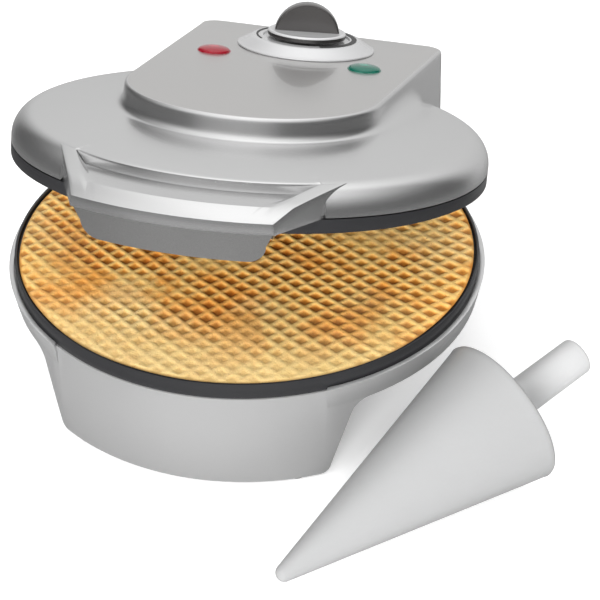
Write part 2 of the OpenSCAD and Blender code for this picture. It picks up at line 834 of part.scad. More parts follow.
module reflector_screws() {
    color([0.6, 0.6, 0.62])
        for (a = [90, 210, 330])
            rotate([0, 0, a])
                translate([upper_post_r, 0, upper_reflector_z + sheet_t]) mirror([0, 0, 1]) screw_up(0, 0, 0, 8);
}

module upper_plate_screws() {
    color([0.6, 0.6, 0.62])
        for (s = [-1, 1]) {
            screw_up(s * rear_lug_x, rear_lug_y, upper_back_z - lug_t, 12);
            screw_up(s * front_lug_x, -rear_lug_y, upper_back_z - lug_t, 4);
        }
}

module lid_rear_cover() {
    color([0.3, 0.3, 0.31])
        difference() {
            translate([0, 0, rear_cover_z])
                linear_extrude(height = rear_cover_t)
                    difference() {
                        offset(delta = -wall - 0.4) tower_outline(tower_draft - 0.4);
                        circle(r = plate_r + 1.2, $fn = 180);
                    }
            // notches for the hinge arms
            both_sides()
                translate([arm_mid - arm_w / 2 - air_gap, arm_front - air_gap, rear_cover_z - 1])
                    cube([arm_w + 2 * air_gap, 20, 4]);
        }
}

module hinge_arm() {
    x0 = arm_mid - arm_w / 2;
    difference() {
        union() {
            translate([x0, hinge_y, hinge_z]) rotate([0, 90, 0]) cylinder(r = knuckle_r, h = arm_w, $fn = 64);
            translate([x0, arm_front, hinge_z - knuckle_r]) cube([arm_w, hinge_y - arm_front, 2 * knuckle_r - 2]);
            translate([x0, arm_front, hinge_z]) cube([arm_w, arm_t - fit_gap, arm_top - hinge_z]);
        }
        translate([x0 - 1, hinge_y, hinge_z])
            rotate([0, 90, 0]) cylinder(r = pin_r + pin_clear, h = arm_w + 2, $fn = 64);
        for (z = [arm_screw_low, arm_screw_high])
            translate([arm_mid, arm_front - 1, z]) rotate([-90, 0, 0]) cylinder(r = screw_hole_r, h = arm_t + 2, $fn = 32);
    }
}

module hinge_arms() {
    color([0.3, 0.3, 0.31]) both_sides() hinge_arm();
}

module hinge_arm_screws() {
    color([0.6, 0.6, 0.62])
        for (s = [-1, 1])
            for (z = [arm_screw_low, arm_screw_high])
                translate([s * arm_mid, arm_front, z]) rotate([-90, 0, 0]) screw_up(0, 0, 0, arm_t + 3.8);
}

// ---- controls ----

module dial_bezel() {
    color([0.86, 0.86, 0.86])
        translate([0, dial_y, 0])
            rotate_extrude($fn = 120)
                polygon([[bezel_r, tower_top + eps], [bezel_r, tower_top + 0.8], [bezel_top_r, bezel_top],
                    [knob_r + 1.4, bezel_top], [knob_r + 1, bezel_top - scale_t - 0.6], [9, bezel_top - scale_t - 0.6],
                    [9, tower_top + eps]]);
}

// printed arc that widens as the setting rises
module dial_scale() {
    steps = 36;
    function angle_at(i) = scale_start - scale_sweep * i / steps;
    function width_at(i) = scale_thin + (scale_thick - scale_thin) * i / steps;
    outer = [for (i = [0:steps]) scale_out_r * [cos(angle_at(i)), sin(angle_at(i))]];
    inner = [for (i = [steps:-1:0]) (scale_out_r - width_at(i)) * [cos(angle_at(i)), sin(angle_at(i))]];
    color([0.1, 0.1, 0.1])
        translate([0, dial_y, bezel_top + eps])
            linear_extrude(height = scale_t - 0.1) polygon(concat(outer, inner));
}

module thermostat() {
    color([0.85, 0.84, 0.8])
        translate([0, dial_y, 0])
            difference() {
                union() {
                    translate([0, 0, panel_in - 1 - thermostat_h]) cylinder(r = thermostat_r, h = thermostat_h, $fn = 64);
                    translate([0, 0, panel_in - 1 - eps]) cylinder(r = neck_r, h = bezel_top - panel_in - scale_t - 1.2, $fn = 48);
                }
                translate([0, 0, panel_in - 5]) cylinder(r = shaft_r + pin_clear, h = 20, $fn = 48);
            }
}

module thermostat_nut() {
    color([0.7, 0.65, 0.4])
        translate([0, dial_y, tower_top + eps])
            difference() {
                cylinder(r = 8, h = 2.2, $fn = 6);
                translate([0, 0, -1]) cylinder(r = neck_r + 0.02, h = 4, $fn = 48);
            }
}

module lens(x) {
    translate([x, lamp_y, tower_top])
        difference() {
            union() {
                translate([0, 0, eps])
                    intersection() {
                        translate([0, 0, lens_h - lens_curve]) sphere(r = lens_curve, $fn = 96);
                        cylinder(r = lamp_r, h = lens_h, $fn = 64);
                    }
                translate([0, 0, -lens_stem]) cylinder(r = lamp_r - 1 - fit_gap, h = lens_stem + 1, $fn = 64);
            }
            translate([0, 0, -lens_stem - 1]) cylinder(r = lamp_r - 2.6, h = lens_stem + 1, $fn = 48);
        }
}

module red_lamp_lens() {
    color([0.75, 0.02, 0.08]) lens(-lamp_x);
}

module green_lamp_lens() {
    color([0.0, 0.45, 0.32]) lens(lamp_x);
}

module lamp_bulbs() {
    color([0.95, 0.85, 0.7])
        for (s = [-1, 1])
            translate([s * lamp_x, lamp_y, tower_top - lens_stem - 8]) {
                cylinder(r = 2.6, h = 9, $fn = 32);
                translate([0, 0, 9]) sphere(r = 2.6, $fn = 32);
            }
}

module control_knob() {
    color([0.66, 0.66, 0.67])
        translate([0, dial_y, knob_low])
            difference() {
                union() {
                    cylinder(r = knob_r, h = knob_disc_h, $fn = 120);
                    rotate([0, 0, knob_turn]) intersection() {
                        translate([0, fin_t / 2, knob_disc_h + fin_h - fin_r]) rotate([90, 0, 0]) cylinder(r = fin_r, h = fin_t, $fn = 96);
                        translate([-fin_r, -fin_t, 0]) cube([2 * fin_r, 2 * fin_t, knob_disc_h + fin_h]);
                    }
                }
                translate([0, 0, -1]) cylinder(r = shaft_r + 0.02, h = 11, $fn = 48);
            }
}

module thermostat_shaft() {
    color([0.75, 0.75, 0.76])
        translate([0, dial_y, panel_in - 4.5]) cylinder(r = shaft_r, h = knob_low + 9 - panel_in + 4.5, $fn = 48);
}

// ---- loose pieces ----

module wafer() {
    color([0.87, 0.66, 0.38])
        translate([0, 0, bake_z + eps]) cylinder(r = wafer_r, h = wafer_t, $fn = 180);
}

module on_table() {
    translate([cone_x, -cone_y, 0])
        rotate([0, 0, cone_heading])
            rotate([0, 90 - cone_lift, 0]) children();
}

module cone_former() {
    half = atan(cone_r / cone_len);
    ball_z = cone_tip_r / sin(half);
    tan_z = ball_z - cone_tip_r * sin(half);
    inner_tip = ball_z + 6;
    color([0.93, 0.93, 0.93])
        on_table()
            rotate_extrude($fn = 96)
                polygon(concat(arc(0, ball_z, cone_tip_r, -90, -half, 8),
                    [[(cone_len - cone_edge) * tan(half), cone_len - cone_edge],
                        [cone_len * tan(half) - cone_edge, cone_len],
                        [cone_r - cone_wall - cap_in, cone_len], [cone_r - cone_wall - cap_in, cone_len - cap_in],
                        [(cone_len - cap_in) * tan(half) - cone_wall, cone_len - cap_in],
                        [inner_tip * tan(half) - cone_wall + 1.2, inner_tip], [0, inner_tip]]));
}

module cone_handle() {
    cap_r = cone_r - cone_wall - cap_in - fit_gap;
    color([0.93, 0.93, 0.93])
        on_table()
            rotate_extrude($fn = 64)
                polygon([[0, cone_len - cap_in - 1], [cap_r, cone_len - cap_in - 1], [cap_r, cone_len],
                    [cone_handle_r, cone_len], [cone_handle_r, cone_len + cone_handle_len - 1.2],
                    [cone_handle_r - 1.2, cone_len + cone_handle_len], [0, cone_len + cone_handle_len]]);
}

base_shell();
base_bottom_cover();
housing_cover();
rubber_feet();
cover_screws();
lower_plate();
lower_heating_element();
lower_reflector();
lower_plate_screws();
thermal_fuse();
terminal_block();
cord_gland();
hinge_pins();
in_lid() lid_shell();
in_lid() handle_upper();
in_lid() handle_lower();
in_lid() handle_screws();
in_lid() upper_plate();
in_lid() upper_heating_element();
in_lid() upper_reflector();
in_lid() reflector_screws();
in_lid() upper_plate_screws();
in_lid() lid_rear_cover();
in_lid() hinge_arms();
in_lid() hinge_arm_screws();
in_lid() dial_bezel();
in_lid() dial_scale();
in_lid() thermostat();
in_lid() thermostat_nut();
in_lid() red_lamp_lens();
in_lid() green_lamp_lens();
in_lid() lamp_bulbs();
in_lid() control_knob();
in_lid() thermostat_shaft();
wafer();
cone_former();
cone_handle();
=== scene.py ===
"""Waffle cone maker: visible pieces, materials, light and camera in the machine's own frame.

Millimetres are used while a piece is built and metres in the finished meshes. Lid pieces are
drawn with the lid closed and then turned about the hinge to the position they stand in.
"""
import json
import logging
import math
from dataclasses import dataclass, field
from enum import Enum
from typing import Callable, Iterable, Sequence

import bmesh
import bpy
import numpy as np
from mathutils import Matrix, Vector, noise


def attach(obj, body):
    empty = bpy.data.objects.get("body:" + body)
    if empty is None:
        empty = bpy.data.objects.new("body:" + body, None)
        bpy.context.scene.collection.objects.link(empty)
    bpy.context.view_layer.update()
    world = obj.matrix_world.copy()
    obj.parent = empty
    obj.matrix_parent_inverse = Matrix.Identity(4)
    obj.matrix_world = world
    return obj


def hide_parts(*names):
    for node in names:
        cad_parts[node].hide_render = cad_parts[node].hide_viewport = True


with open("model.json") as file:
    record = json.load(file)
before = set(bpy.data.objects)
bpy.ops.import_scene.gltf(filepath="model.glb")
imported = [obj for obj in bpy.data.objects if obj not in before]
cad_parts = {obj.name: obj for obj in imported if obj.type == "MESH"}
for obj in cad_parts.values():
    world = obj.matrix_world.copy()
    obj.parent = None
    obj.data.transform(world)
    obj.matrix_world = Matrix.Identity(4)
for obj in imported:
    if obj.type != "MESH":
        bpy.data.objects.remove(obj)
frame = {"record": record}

LOG = logging.getLogger("waffle_cone_maker")
MM = 0.001
Point = tuple[float, float]


class Body(Enum):
    """Bodies of the machine that a piece can ride on."""

    BASE = "base"
    LID = "lid"
    KNOB = "knob"
    WAFER = "wafer"
    CONE = "cone_former"


# ---------------------------------------------------------------- finishes


@dataclass(frozen=True)
class Finish:
    """Numbers of one surface finish.

    Attributes:
        colour: base colour in linear RGB.
        metallic: metallic share of the base.
        roughness: middle roughness.
        spread: how far the roughness wanders either way.
        tone: how far the colour's value wanders either way.
        grain: size of the surface grain in metres.
        bump: height of the grain in metres.
        coat: weight of the clear coat.
        coat_roughness: roughness of the clear coat.
        specular: specular level of the base.
        brushed: stretch of the grain along the turning direction, 1 for none.
    """

    colour: tuple[float, float, float]
    metallic: float = 0.0
    roughness: float = 0.5
    spread: float = 0.05
    tone: float = 0.04
    grain: float = 0.0006
    bump: float = 0.00001
    coat: float = 0.0
    coat_roughness: float = 0.05
    specular: float = 0.5
    brushed: float = 1.0
    subsurface: float = 0.0


FINISHES: dict[str, Finish] = {
    "silver_shell": Finish((0.65, 0.65, 0.65), 0.93, 0.24, 0.02, 0.02, 0.00035, 0.000003, 0.30, 0.05),
    # The base's silver: rougher, as its satin finish is, and less metallic so that more of its colour shows as diffuse
    # light: painted light standing in for the bright reflection on the leg.
    "silver_leg_painted_light": Finish((0.64, 0.64, 0.64), 0.74, 0.42, 0.02, 0.02, 0.00035, 0.000004, 0.0, 0.1),
    "silver_apron": Finish((0.50, 0.497, 0.493), 0.92, 0.40, 0.05, 0.16, 0.00045, 0.000012, 0.0, 0.1),
    "panel": Finish((0.55, 0.54, 0.53), 0.92, 0.30, 0.02, 0.015, 0.0004, 0.000002, 0.5, 0.04),
    "bezel_silver": Finish((0.60, 0.60, 0.605), 0.45, 0.22, 0.02, 0.01, 0.0005, 0.000001, 0.6, 0.05),
    "knob_silver": Finish((0.15, 0.144, 0.142), 0.88, 0.25, 0.02, 0.03, 0.0004, 0.000003, 0.4, 0.06),
    "knob_disc": Finish((0.62, 0.62, 0.625), 0.35, 0.34, 0.02, 0.02, 0.0004, 0.000003, 0.3, 0.08),
    "dark_cover": Finish((0.05, 0.05, 0.053), 0.0, 0.5, 0.06, 0.1, 0.0008, 0.00004),
    "rubber": Finish((0.025, 0.025, 0.025), 0.0, 0.75, 0.05, 0.15, 0.001, 0.00003),
    "screw_steel": Finish((0.6, 0.6, 0.61), 1.0, 0.28, 0.06, 0.05, 0.0004, 0.000004),
    "plate_coating": Finish((0.030, 0.030, 0.032), 0.35, 0.36, 0.08, 0.25, 0.00045, 0.00002, 0.0, 0.1, 0.6, 14.0),
    "heater_sheath": Finish((0.34, 0.33, 0.30), 1.0, 0.45, 0.1, 0.2, 0.002, 0.00001),
    "reflector_sheet": Finish((0.78, 0.79, 0.8), 1.0, 0.22, 0.05, 0.03, 0.003, 0.000008),
    "ceramic": Finish((0.84, 0.82, 0.77), 0.0, 0.55, 0.05, 0.04, 0.001, 0.00001),
    "brass": Finish((0.72, 0.53, 0.24), 1.0, 0.3, 0.06, 0.06, 0.0006, 0.000006),
    "scale_print": Finish((0.012, 0.012, 0.012), 0.0, 0.45, 0.04, 0.1, 0.0005, 0.000002),
    # The cone body's finish: the same white plastic darkened as painted shade, offsetting the strong front light on the
    # cone; its grip keeps white_plastic.
    "cone_white_painted_shade": Finish((0.275, 0.276, 0.277), 0.0, 0.40, 0.04, 0.012, 0.0012, 0.000006, 0.0, 0.1, 0.45, 1.0, 0.12),
    "white_plastic": Finish((0.43, 0.431, 0.433), 0.0, 0.40, 0.04, 0.012, 0.0012, 0.000006, 0.0, 0.1, 0.45, 1.0, 0.12),
}


class NodeSheet:
    """Short forms for building one material's node tree."""

    def __init__(self, name: str) -> None:
        self.material = bpy.data.materials.new(name)
        self.material.use_nodes = True
        self.tree = self.material.node_tree
        self.shader = self.tree.nodes["Principled BSDF"]
        self.coords = self.tree.nodes.new("ShaderNodeTexCoord").outputs["Object"]

    def link(self, source: bpy.types.NodeSocket, target: bpy.types.NodeSocket) -> None:
        """Joins two sockets.

        Args:
            source: output socket.
            target: input socket.
        """
        self.tree.links.new(source, target)

    def mapping(self, scale: Sequence[float], rotation: float = 0.0,
                coords: bpy.types.NodeSocket | None = None) -> bpy.types.NodeSocket:
        """Scales and turns the object coordinates.

        Args:
            scale: factors along X, Y and Z.
            rotation: turn about Z in radians.
            coords: other coordinates to start from.

        Returns:
            The vector output.
        """
        node = self.tree.nodes.new("ShaderNodeMapping")
        node.inputs["Scale"].default_value = scale
        node.inputs["Rotation"].default_value = (0.0, 0.0, rotation)
        self.link(coords or self.coords, node.inputs["Vector"])
        return node.outputs["Vector"]

    def noise(self, scale: float, detail: float = 2.0, rough: float = 0.5,
              coords: bpy.types.NodeSocket | None = None, distortion: float = 0.0) -> bpy.types.NodeSocket:
        """Makes a noise texture.

        Args:
            scale: features for each metre.
            detail: octaves.
            rough: strength of the finer octaves.
            coords: vector input, the object coordinates if left out.
            distortion: distortion of the pattern.

        Returns:
            The factor output.
        """
        node = self.tree.nodes.new("ShaderNodeTexNoise")
        node.inputs["Scale"].default_value = scale
        node.inputs["Detail"].default_value = detail
        node.inputs["Roughness"].default_value = rough
        node.inputs["Distortion"].default_value = distortion
        self.link(coords or self.coords, node.inputs["Vector"])
        return node.outputs["Fac"]

    def ramp(self, value: bpy.types.NodeSocket, stops: Iterable[tuple[float, Sequence[float]]]) -> bpy.types.NodeSocket:
        """Maps a value to colours.

        Args:
            value: factor socket.
            stops: position and colour of each stop.

        Returns:
            The colour output.
        """
        node = self.tree.nodes.new("ShaderNodeValToRGB")
        elements = node.color_ramp.elements
        for place, (position, colour) in enumerate(stops):
            element = elements[place] if place < 2 else elements.new(position)
            element.position = position
            element.color = (*colour, 1.0)
        self.link(value, node.inputs["Fac"])
        return node.outputs["Color"]

    def remap(self, value: bpy.types.NodeSocket, low: float, high: float, to_low: float = 0.0,
              to_high: float = 1.0, smooth: bool = False) -> bpy.types.NodeSocket:
        """Maps a range of a value to another range.

        Args:
            value: value socket.
            low: start of the range that is read.
            high: end of the range that is read.
            to_low: result at the start.
            to_high: result at the end.
            smooth: True for eased ends.

        Returns:
            The result output.
        """
        node = self.tree.nodes.new("ShaderNodeMapRange")
        node.interpolation_type = "SMOOTHSTEP" if smooth else "LINEAR"
        for name, number in (("From Min", low), ("From Max", high), ("To Min", to_low), ("To Max", to_high)):
            node.inputs[name].default_value = number
        self.link(value, node.inputs["Value"])
        return node.outputs["Result"]

    def mix(self, factor: bpy.types.NodeSocket | float, first: bpy.types.NodeSocket | Sequence[float],
            second: bpy.types.NodeSocket | Sequence[float], blend: str = "MIX") -> bpy.types.NodeSocket:
        """Mixes two colours.

        Args:
            factor: factor socket or number.
            first: first colour or socket.
            second: second colour or socket.
            blend: blend type.

        Returns:
            The colour output.
        """
        node = self.tree.nodes.new("ShaderNodeMix")
        node.data_type = "RGBA"
        node.blend_type = blend
        for value, socket in ((factor, node.inputs[0]), (first, node.inputs[6]), (second, node.inputs[7])):
            if isinstance(value, bpy.types.NodeSocket):
                self.link(value, socket)
            elif isinstance(value, (int, float)):
                socket.default_value = value
            else:
                socket.default_value = (*value, 1.0)
        return node.outputs[2]

    def math(self, operation: str, first: bpy.types.NodeSocket | float,
             second: bpy.types.NodeSocket | float) -> bpy.types.NodeSocket:
        """Does one sum.

        Args:
            operation: Blender's name of the operation.
            first: first number or socket.
            second: second number or socket.

        Returns:
            The value output.
        """
        node = self.tree.nodes.new("ShaderNodeMath")
        node.operation = operation
        for value, socket in zip((first, second), node.inputs):
            if isinstance(value, bpy.types.NodeSocket):
                self.link(value, socket)
            else:
                socket.default_value = value
        return node.outputs[0]

    def axis(self, name: str) -> bpy.types.NodeSocket:
        """Gives one object coordinate.

        Args:
            name: X, Y or Z.

        Returns:
            The coordinate's output.
        """
        node = self.tree.nodes.new("ShaderNodeSeparateXYZ")
        self.link(self.coords, node.inputs[0])
        return node.outputs[name]

    def distance(self, centre: Sequence[float]) -> bpy.types.NodeSocket:
        """Gives the distance from a fixed point.

        Args:
            centre: the point in metres.

        Returns:
            The distance output.
        """
        node = self.tree.nodes.new("ShaderNodeVectorMath")
        node.operation = "DISTANCE"
        node.inputs[1].default_value = centre
        self.link(self.coords, node.inputs[0])
        return node.outputs["Value"]

    def bump(self, height: bpy.types.NodeSocket, depth: float, strength: float = 1.0) -> None:
        """Bumps the shader's normal.

        Args:
            height: height socket from 0 to 1.
            depth: depth of the bump in metres.
            strength: strength of the bump.
        """
        node = self.tree.nodes.new("ShaderNodeBump")
        node.inputs["Distance"].default_value = depth
        node.inputs["Strength"].default_value = strength
        self.link(height, node.inputs["Height"])
        self.link(node.outputs["Normal"], self.shader.inputs["Normal"])

    def set(self, **values: float) -> None:
        """Sets plain numbers on the shader.

        Args:
            values: socket names in lower case with underscores.
        """
        for name, value in values.items():
            self.shader.inputs[name.replace("_", " ").title().replace("Ior", "IOR")].default_value = value


class Materials:
    """Makes each material once."""

    def __init__(self, turn: Matrix) -> None:
        self.turn = turn
        self.made: dict[str, bpy.types.Material] = {}

    def get(self, slot: str) -> bpy.types.Material:
        """Gives the material of a slot.

        Args:
            slot: a name in FINISHES, or wafer, red_lens or green_lens.

        Returns:
            The material.
        """
        if slot not in self.made:
            special: dict[str, Callable[[], bpy.types.Material]] = {
                "wafer": self.wafer,
                "red_lens": lambda: self.lens("red_lens", -1.0, (0.28, 0.0, 0.012), (0.75, 0.03, 0.07)),
                "green_lens": lambda: self.lens("green_lens", 1.0, (0.0, 0.11, 0.072), (0.02, 0.50, 0.34)),
            }
            self.made[slot] = special[slot]() if slot in special else self.plain(slot, FINISHES[slot])
        return self.made[slot]

    def plain(self, name: str, finish: Finish) -> bpy.types.Material:
        """Makes a material from the numbers of a finish.

        Args:
            name: the material's name.
            finish: its numbers.

        Returns:
            The material.
        """
        sheet = NodeSheet(name)
        stretched = sheet.mapping((1.0, 1.0, finish.brushed)) if finish.brushed > 1.0 else None
        fine = sheet.noise(1.0 / finish.grain, 2.0, 0.6, stretched)
        wide = sheet.noise(14.0, 3.0, 0.55)
        blend = sheet.mix(0.5, fine, wide)
        dark = tuple(c * (1.0 - finish.tone) for c in finish.colour)
        light = tuple(min(1.0, c * (1.0 + finish.tone)) for c in finish.colour)
        sheet.link(sheet.ramp(blend, ((0.32, dark), (0.68, light))), sheet.shader.inputs["Base Color"])
        rough = sheet.remap(wide, 0.3, 0.7, finish.roughness - finish.spread, finish.roughness + finish.spread)
        sheet.link(rough, sheet.shader.inputs["Roughness"])
        sheet.bump(fine, finish.bump)
        sheet.set(metallic=finish.metallic, coat_weight=finish.coat, coat_roughness=finish.coat_roughness,
                  specular_ior_level=finish.specular, subsurface_weight=finish.subsurface)
        sheet.shader.inputs["Subsurface Radius"].default_value = (0.004, 0.004, 0.004)
        return sheet.material

    def lens(self, name: str, side: float, deep: tuple[float, float, float],
             bright: tuple[float, float, float]) -> bpy.types.Material:
        """Makes a translucent lens with a painted highlight of the lit bulb in its middle, and paler at its edge.

        Args:
            name: the material's name.
            side: -1 for the left lens and 1 for the right one.
            deep: colour of the body.
            bright: colour of the painted highlight of the bulb in the middle; the paler edge is mixed from it.

        Returns:
            The material.
        """
        sheet = NodeSheet(name)
        centre = self.turn @ Vector((side * Dial.lamp_x, Dial.lamp_y, LidShape.top))
        away = sheet.distance(tuple(centre * MM))
        wander = sheet.math("MULTIPLY", sheet.math("SUBTRACT", sheet.noise(420.0, 2.0), 0.5), 0.0012)
        place = sheet.math("ADD", away, wander)
        # The lighter colour towards the middle is a painted highlight of the bulb shining through; it also feeds the
        # faint emission.
        body = sheet.ramp(sheet.remap(place, 0.0, 0.0095),
                          ((0.0, bright), (0.2, tuple(0.5 * (a + b) for a, b in zip(deep, bright))),
                           (0.42, deep), (0.88, deep), (1.0, tuple(0.22 + 0.78 * c for c in bright))))
        sheet.link(body, sheet.shader.inputs["Base Color"])
        sheet.link(body, sheet.shader.inputs["Emission Color"])
        sheet.bump(sheet.noise(900.0, 2.0), 0.00002)
        sheet.set(roughness=0.14, coat_weight=0.25, coat_roughness=0.03, emission_strength=0.06,
                  subsurface_weight=0.2)
        sheet.shader.inputs["Subsurface Radius"].default_value = (0.003, 0.003, 0.003)
        return sheet.material

    def wafer(self) -> bpy.types.Material:
        """Makes the baked crust: golden ribs, darker pockets, toasted patches and olive patches of painted shade.

        Returns:
            The material.
        """
        sheet = NodeSheet("wafer")
        height = sheet.remap(sheet.axis("Z"), 0.05635, 0.05755, smooth=True)
        crust = sheet.ramp(height, ((0.0, (0.58, 0.22, 0.032)), (0.35, (0.78, 0.37, 0.078)),
                                    (0.75, (0.98, 0.57, 0.165)), (1.0, (1.0, 0.66, 0.23))))
        patches = sheet.noise(26.0, 4.0, 0.62, distortion=0.6)
        toasted = sheet.remap(patches, 0.44, 0.60, smooth=True)
        orange = sheet.mix(height, (0.52, 0.14, 0.014), (0.90, 0.36, 0.050))
        pale_place = sheet.remap(sheet.noise(17.0, 3.0, 0.5, sheet.mapping((1.0, 1.0, 1.0), 0.9)), 0.52, 0.66, smooth=True)
        pale = sheet.mix(height, (0.72, 0.45, 0.14), (0.96, 0.73, 0.34))
        colour = sheet.mix(sheet.math("MULTIPLY", toasted, 0.75), crust, orange)
        front = sheet.remap(sheet.axis("Y"), -0.105, -0.045, 0.75, 0.0, smooth=True)
        pale_share = sheet.math("MINIMUM", sheet.math("ADD", sheet.math("MULTIPLY", pale_place, 0.5), front), 0.85)
        colour = sheet.mix(pale_share, colour, pale)
        # Olive patches are painted shade: the dull olive tint that shade under the lid gives the crust, spread at
        # random by noise.
        olive_painted_shade = sheet.remap(sheet.noise(11.0, 2.0, 0.5, sheet.mapping((1.0, 1.0, 1.0), 2.2)), 0.55, 0.7, smooth=True)
        colour = sheet.mix(sheet.math("MULTIPLY", olive_painted_shade, 0.35), colour, (0.62, 0.50, 0.22))
        specks = sheet.remap(sheet.noise(640.0, 3.0, 0.7), 0.62, 0.72)
        colour = sheet.mix(sheet.math("MULTIPLY", specks, 0.55), colour, (0.36, 0.12, 0.02))
        crumbs = sheet.noise(1300.0, 4.0, 0.7)
        colour = sheet.mix(0.35, colour, sheet.ramp(crumbs, ((0.3, (0.55, 0.45, 0.35)), (0.7, (1.0, 1.0, 1.0)))), "MULTIPLY")
        sheet.link(colour, sheet.shader.inputs["Base Color"])
        sheet.link(sheet.remap(crumbs, 0.3, 0.7, 0.5, 0.75), sheet.shader.inputs["Roughness"])
        sheet.bump(sheet.noise(820.0, 4.0, 0.65), 0.00035, 0.7)
        sheet.set(specular_ior_level=0.35, subsurface_weight=0.12)
        sheet.shader.inputs["Subsurface Radius"].default_value = (0.002, 0.0012, 0.0006)
        return sheet.material


# ---------------------------------------------------------------- mesh building


@dataclass
class Shape:
    """Points and faces of one piece while it is built, in millimetres."""

    points: list[Vector] = field(default_factory=list)
    faces: list[tuple[int, ...]] = field(default_factory=list)

    def row(self, points: Iterable[Sequence[float]]) -> list[int]:
        """Adds a row of points.

        Args:
            points: the places.

        Returns:
            Their numbers.
        """
        first = len(self.points)
        self.points.extend(Vector(p) for p in points)
        return list(range(first, len(self.points)))

    def bridge(self, lower: Sequence[int], upper: Sequence[int], closed: bool = False) -> None:
        """Joins two equal rows with quads.

        Args:
            lower: first row.
            upper: second row.
            closed: True if the rows are loops.
        """
        count = len(lower)
        for i in range(count if closed else count - 1):
            j = (i + 1) % count
            self.faces.append((lower[i], lower[j], upper[j], upper[i]))

    def loft(self, rows: Sequence[Sequence[Sequence[float]]], closed: bool = False) -> list[list[int]]:
        """Adds rows and joins each to the next.

        Args:
            rows: equal rows of places.
            closed: True if the rows are loops.

        Returns:
            The rows' numbers.
        """
        made = [self.row(r) for r in rows]
        for lower, upper in zip(made, made[1:]):
            self.bridge(lower, upper, closed)
        return made

    def revolve(self, profile: Sequence[Point], steps: int, centre: Point = (0.0, 0.0)) -> None:
        """Turns a profile about a vertical axis.

        Args:
            profile: radius and height of each point.
            steps: steps in the turn.
            centre: place of the axis.
        """
        rows = [[(centre[0] + r * math.cos(math.tau * i / steps), centre[1] + r * math.sin(math.tau * i / steps), z)
                 for i in range(steps)] for r, z in profile]
        self.loft(rows, closed=True)


@dataclass(frozen=True)
class Piece:
    """Where a finished piece belongs.

    Attributes:
        name: the object's name.
        body: the body that it rides on.
        slot: the record's material slot.
        nodes: CAD nodes that it stands for.
        look: name of its material if it isn't the slot's.
        crease: angle in degrees above which an edge is sharp.
    """

    name: str
    body: Body
    slot: str
    nodes: tuple[str, ...] = ()
    look: str = ""
    crease: float = 32.0


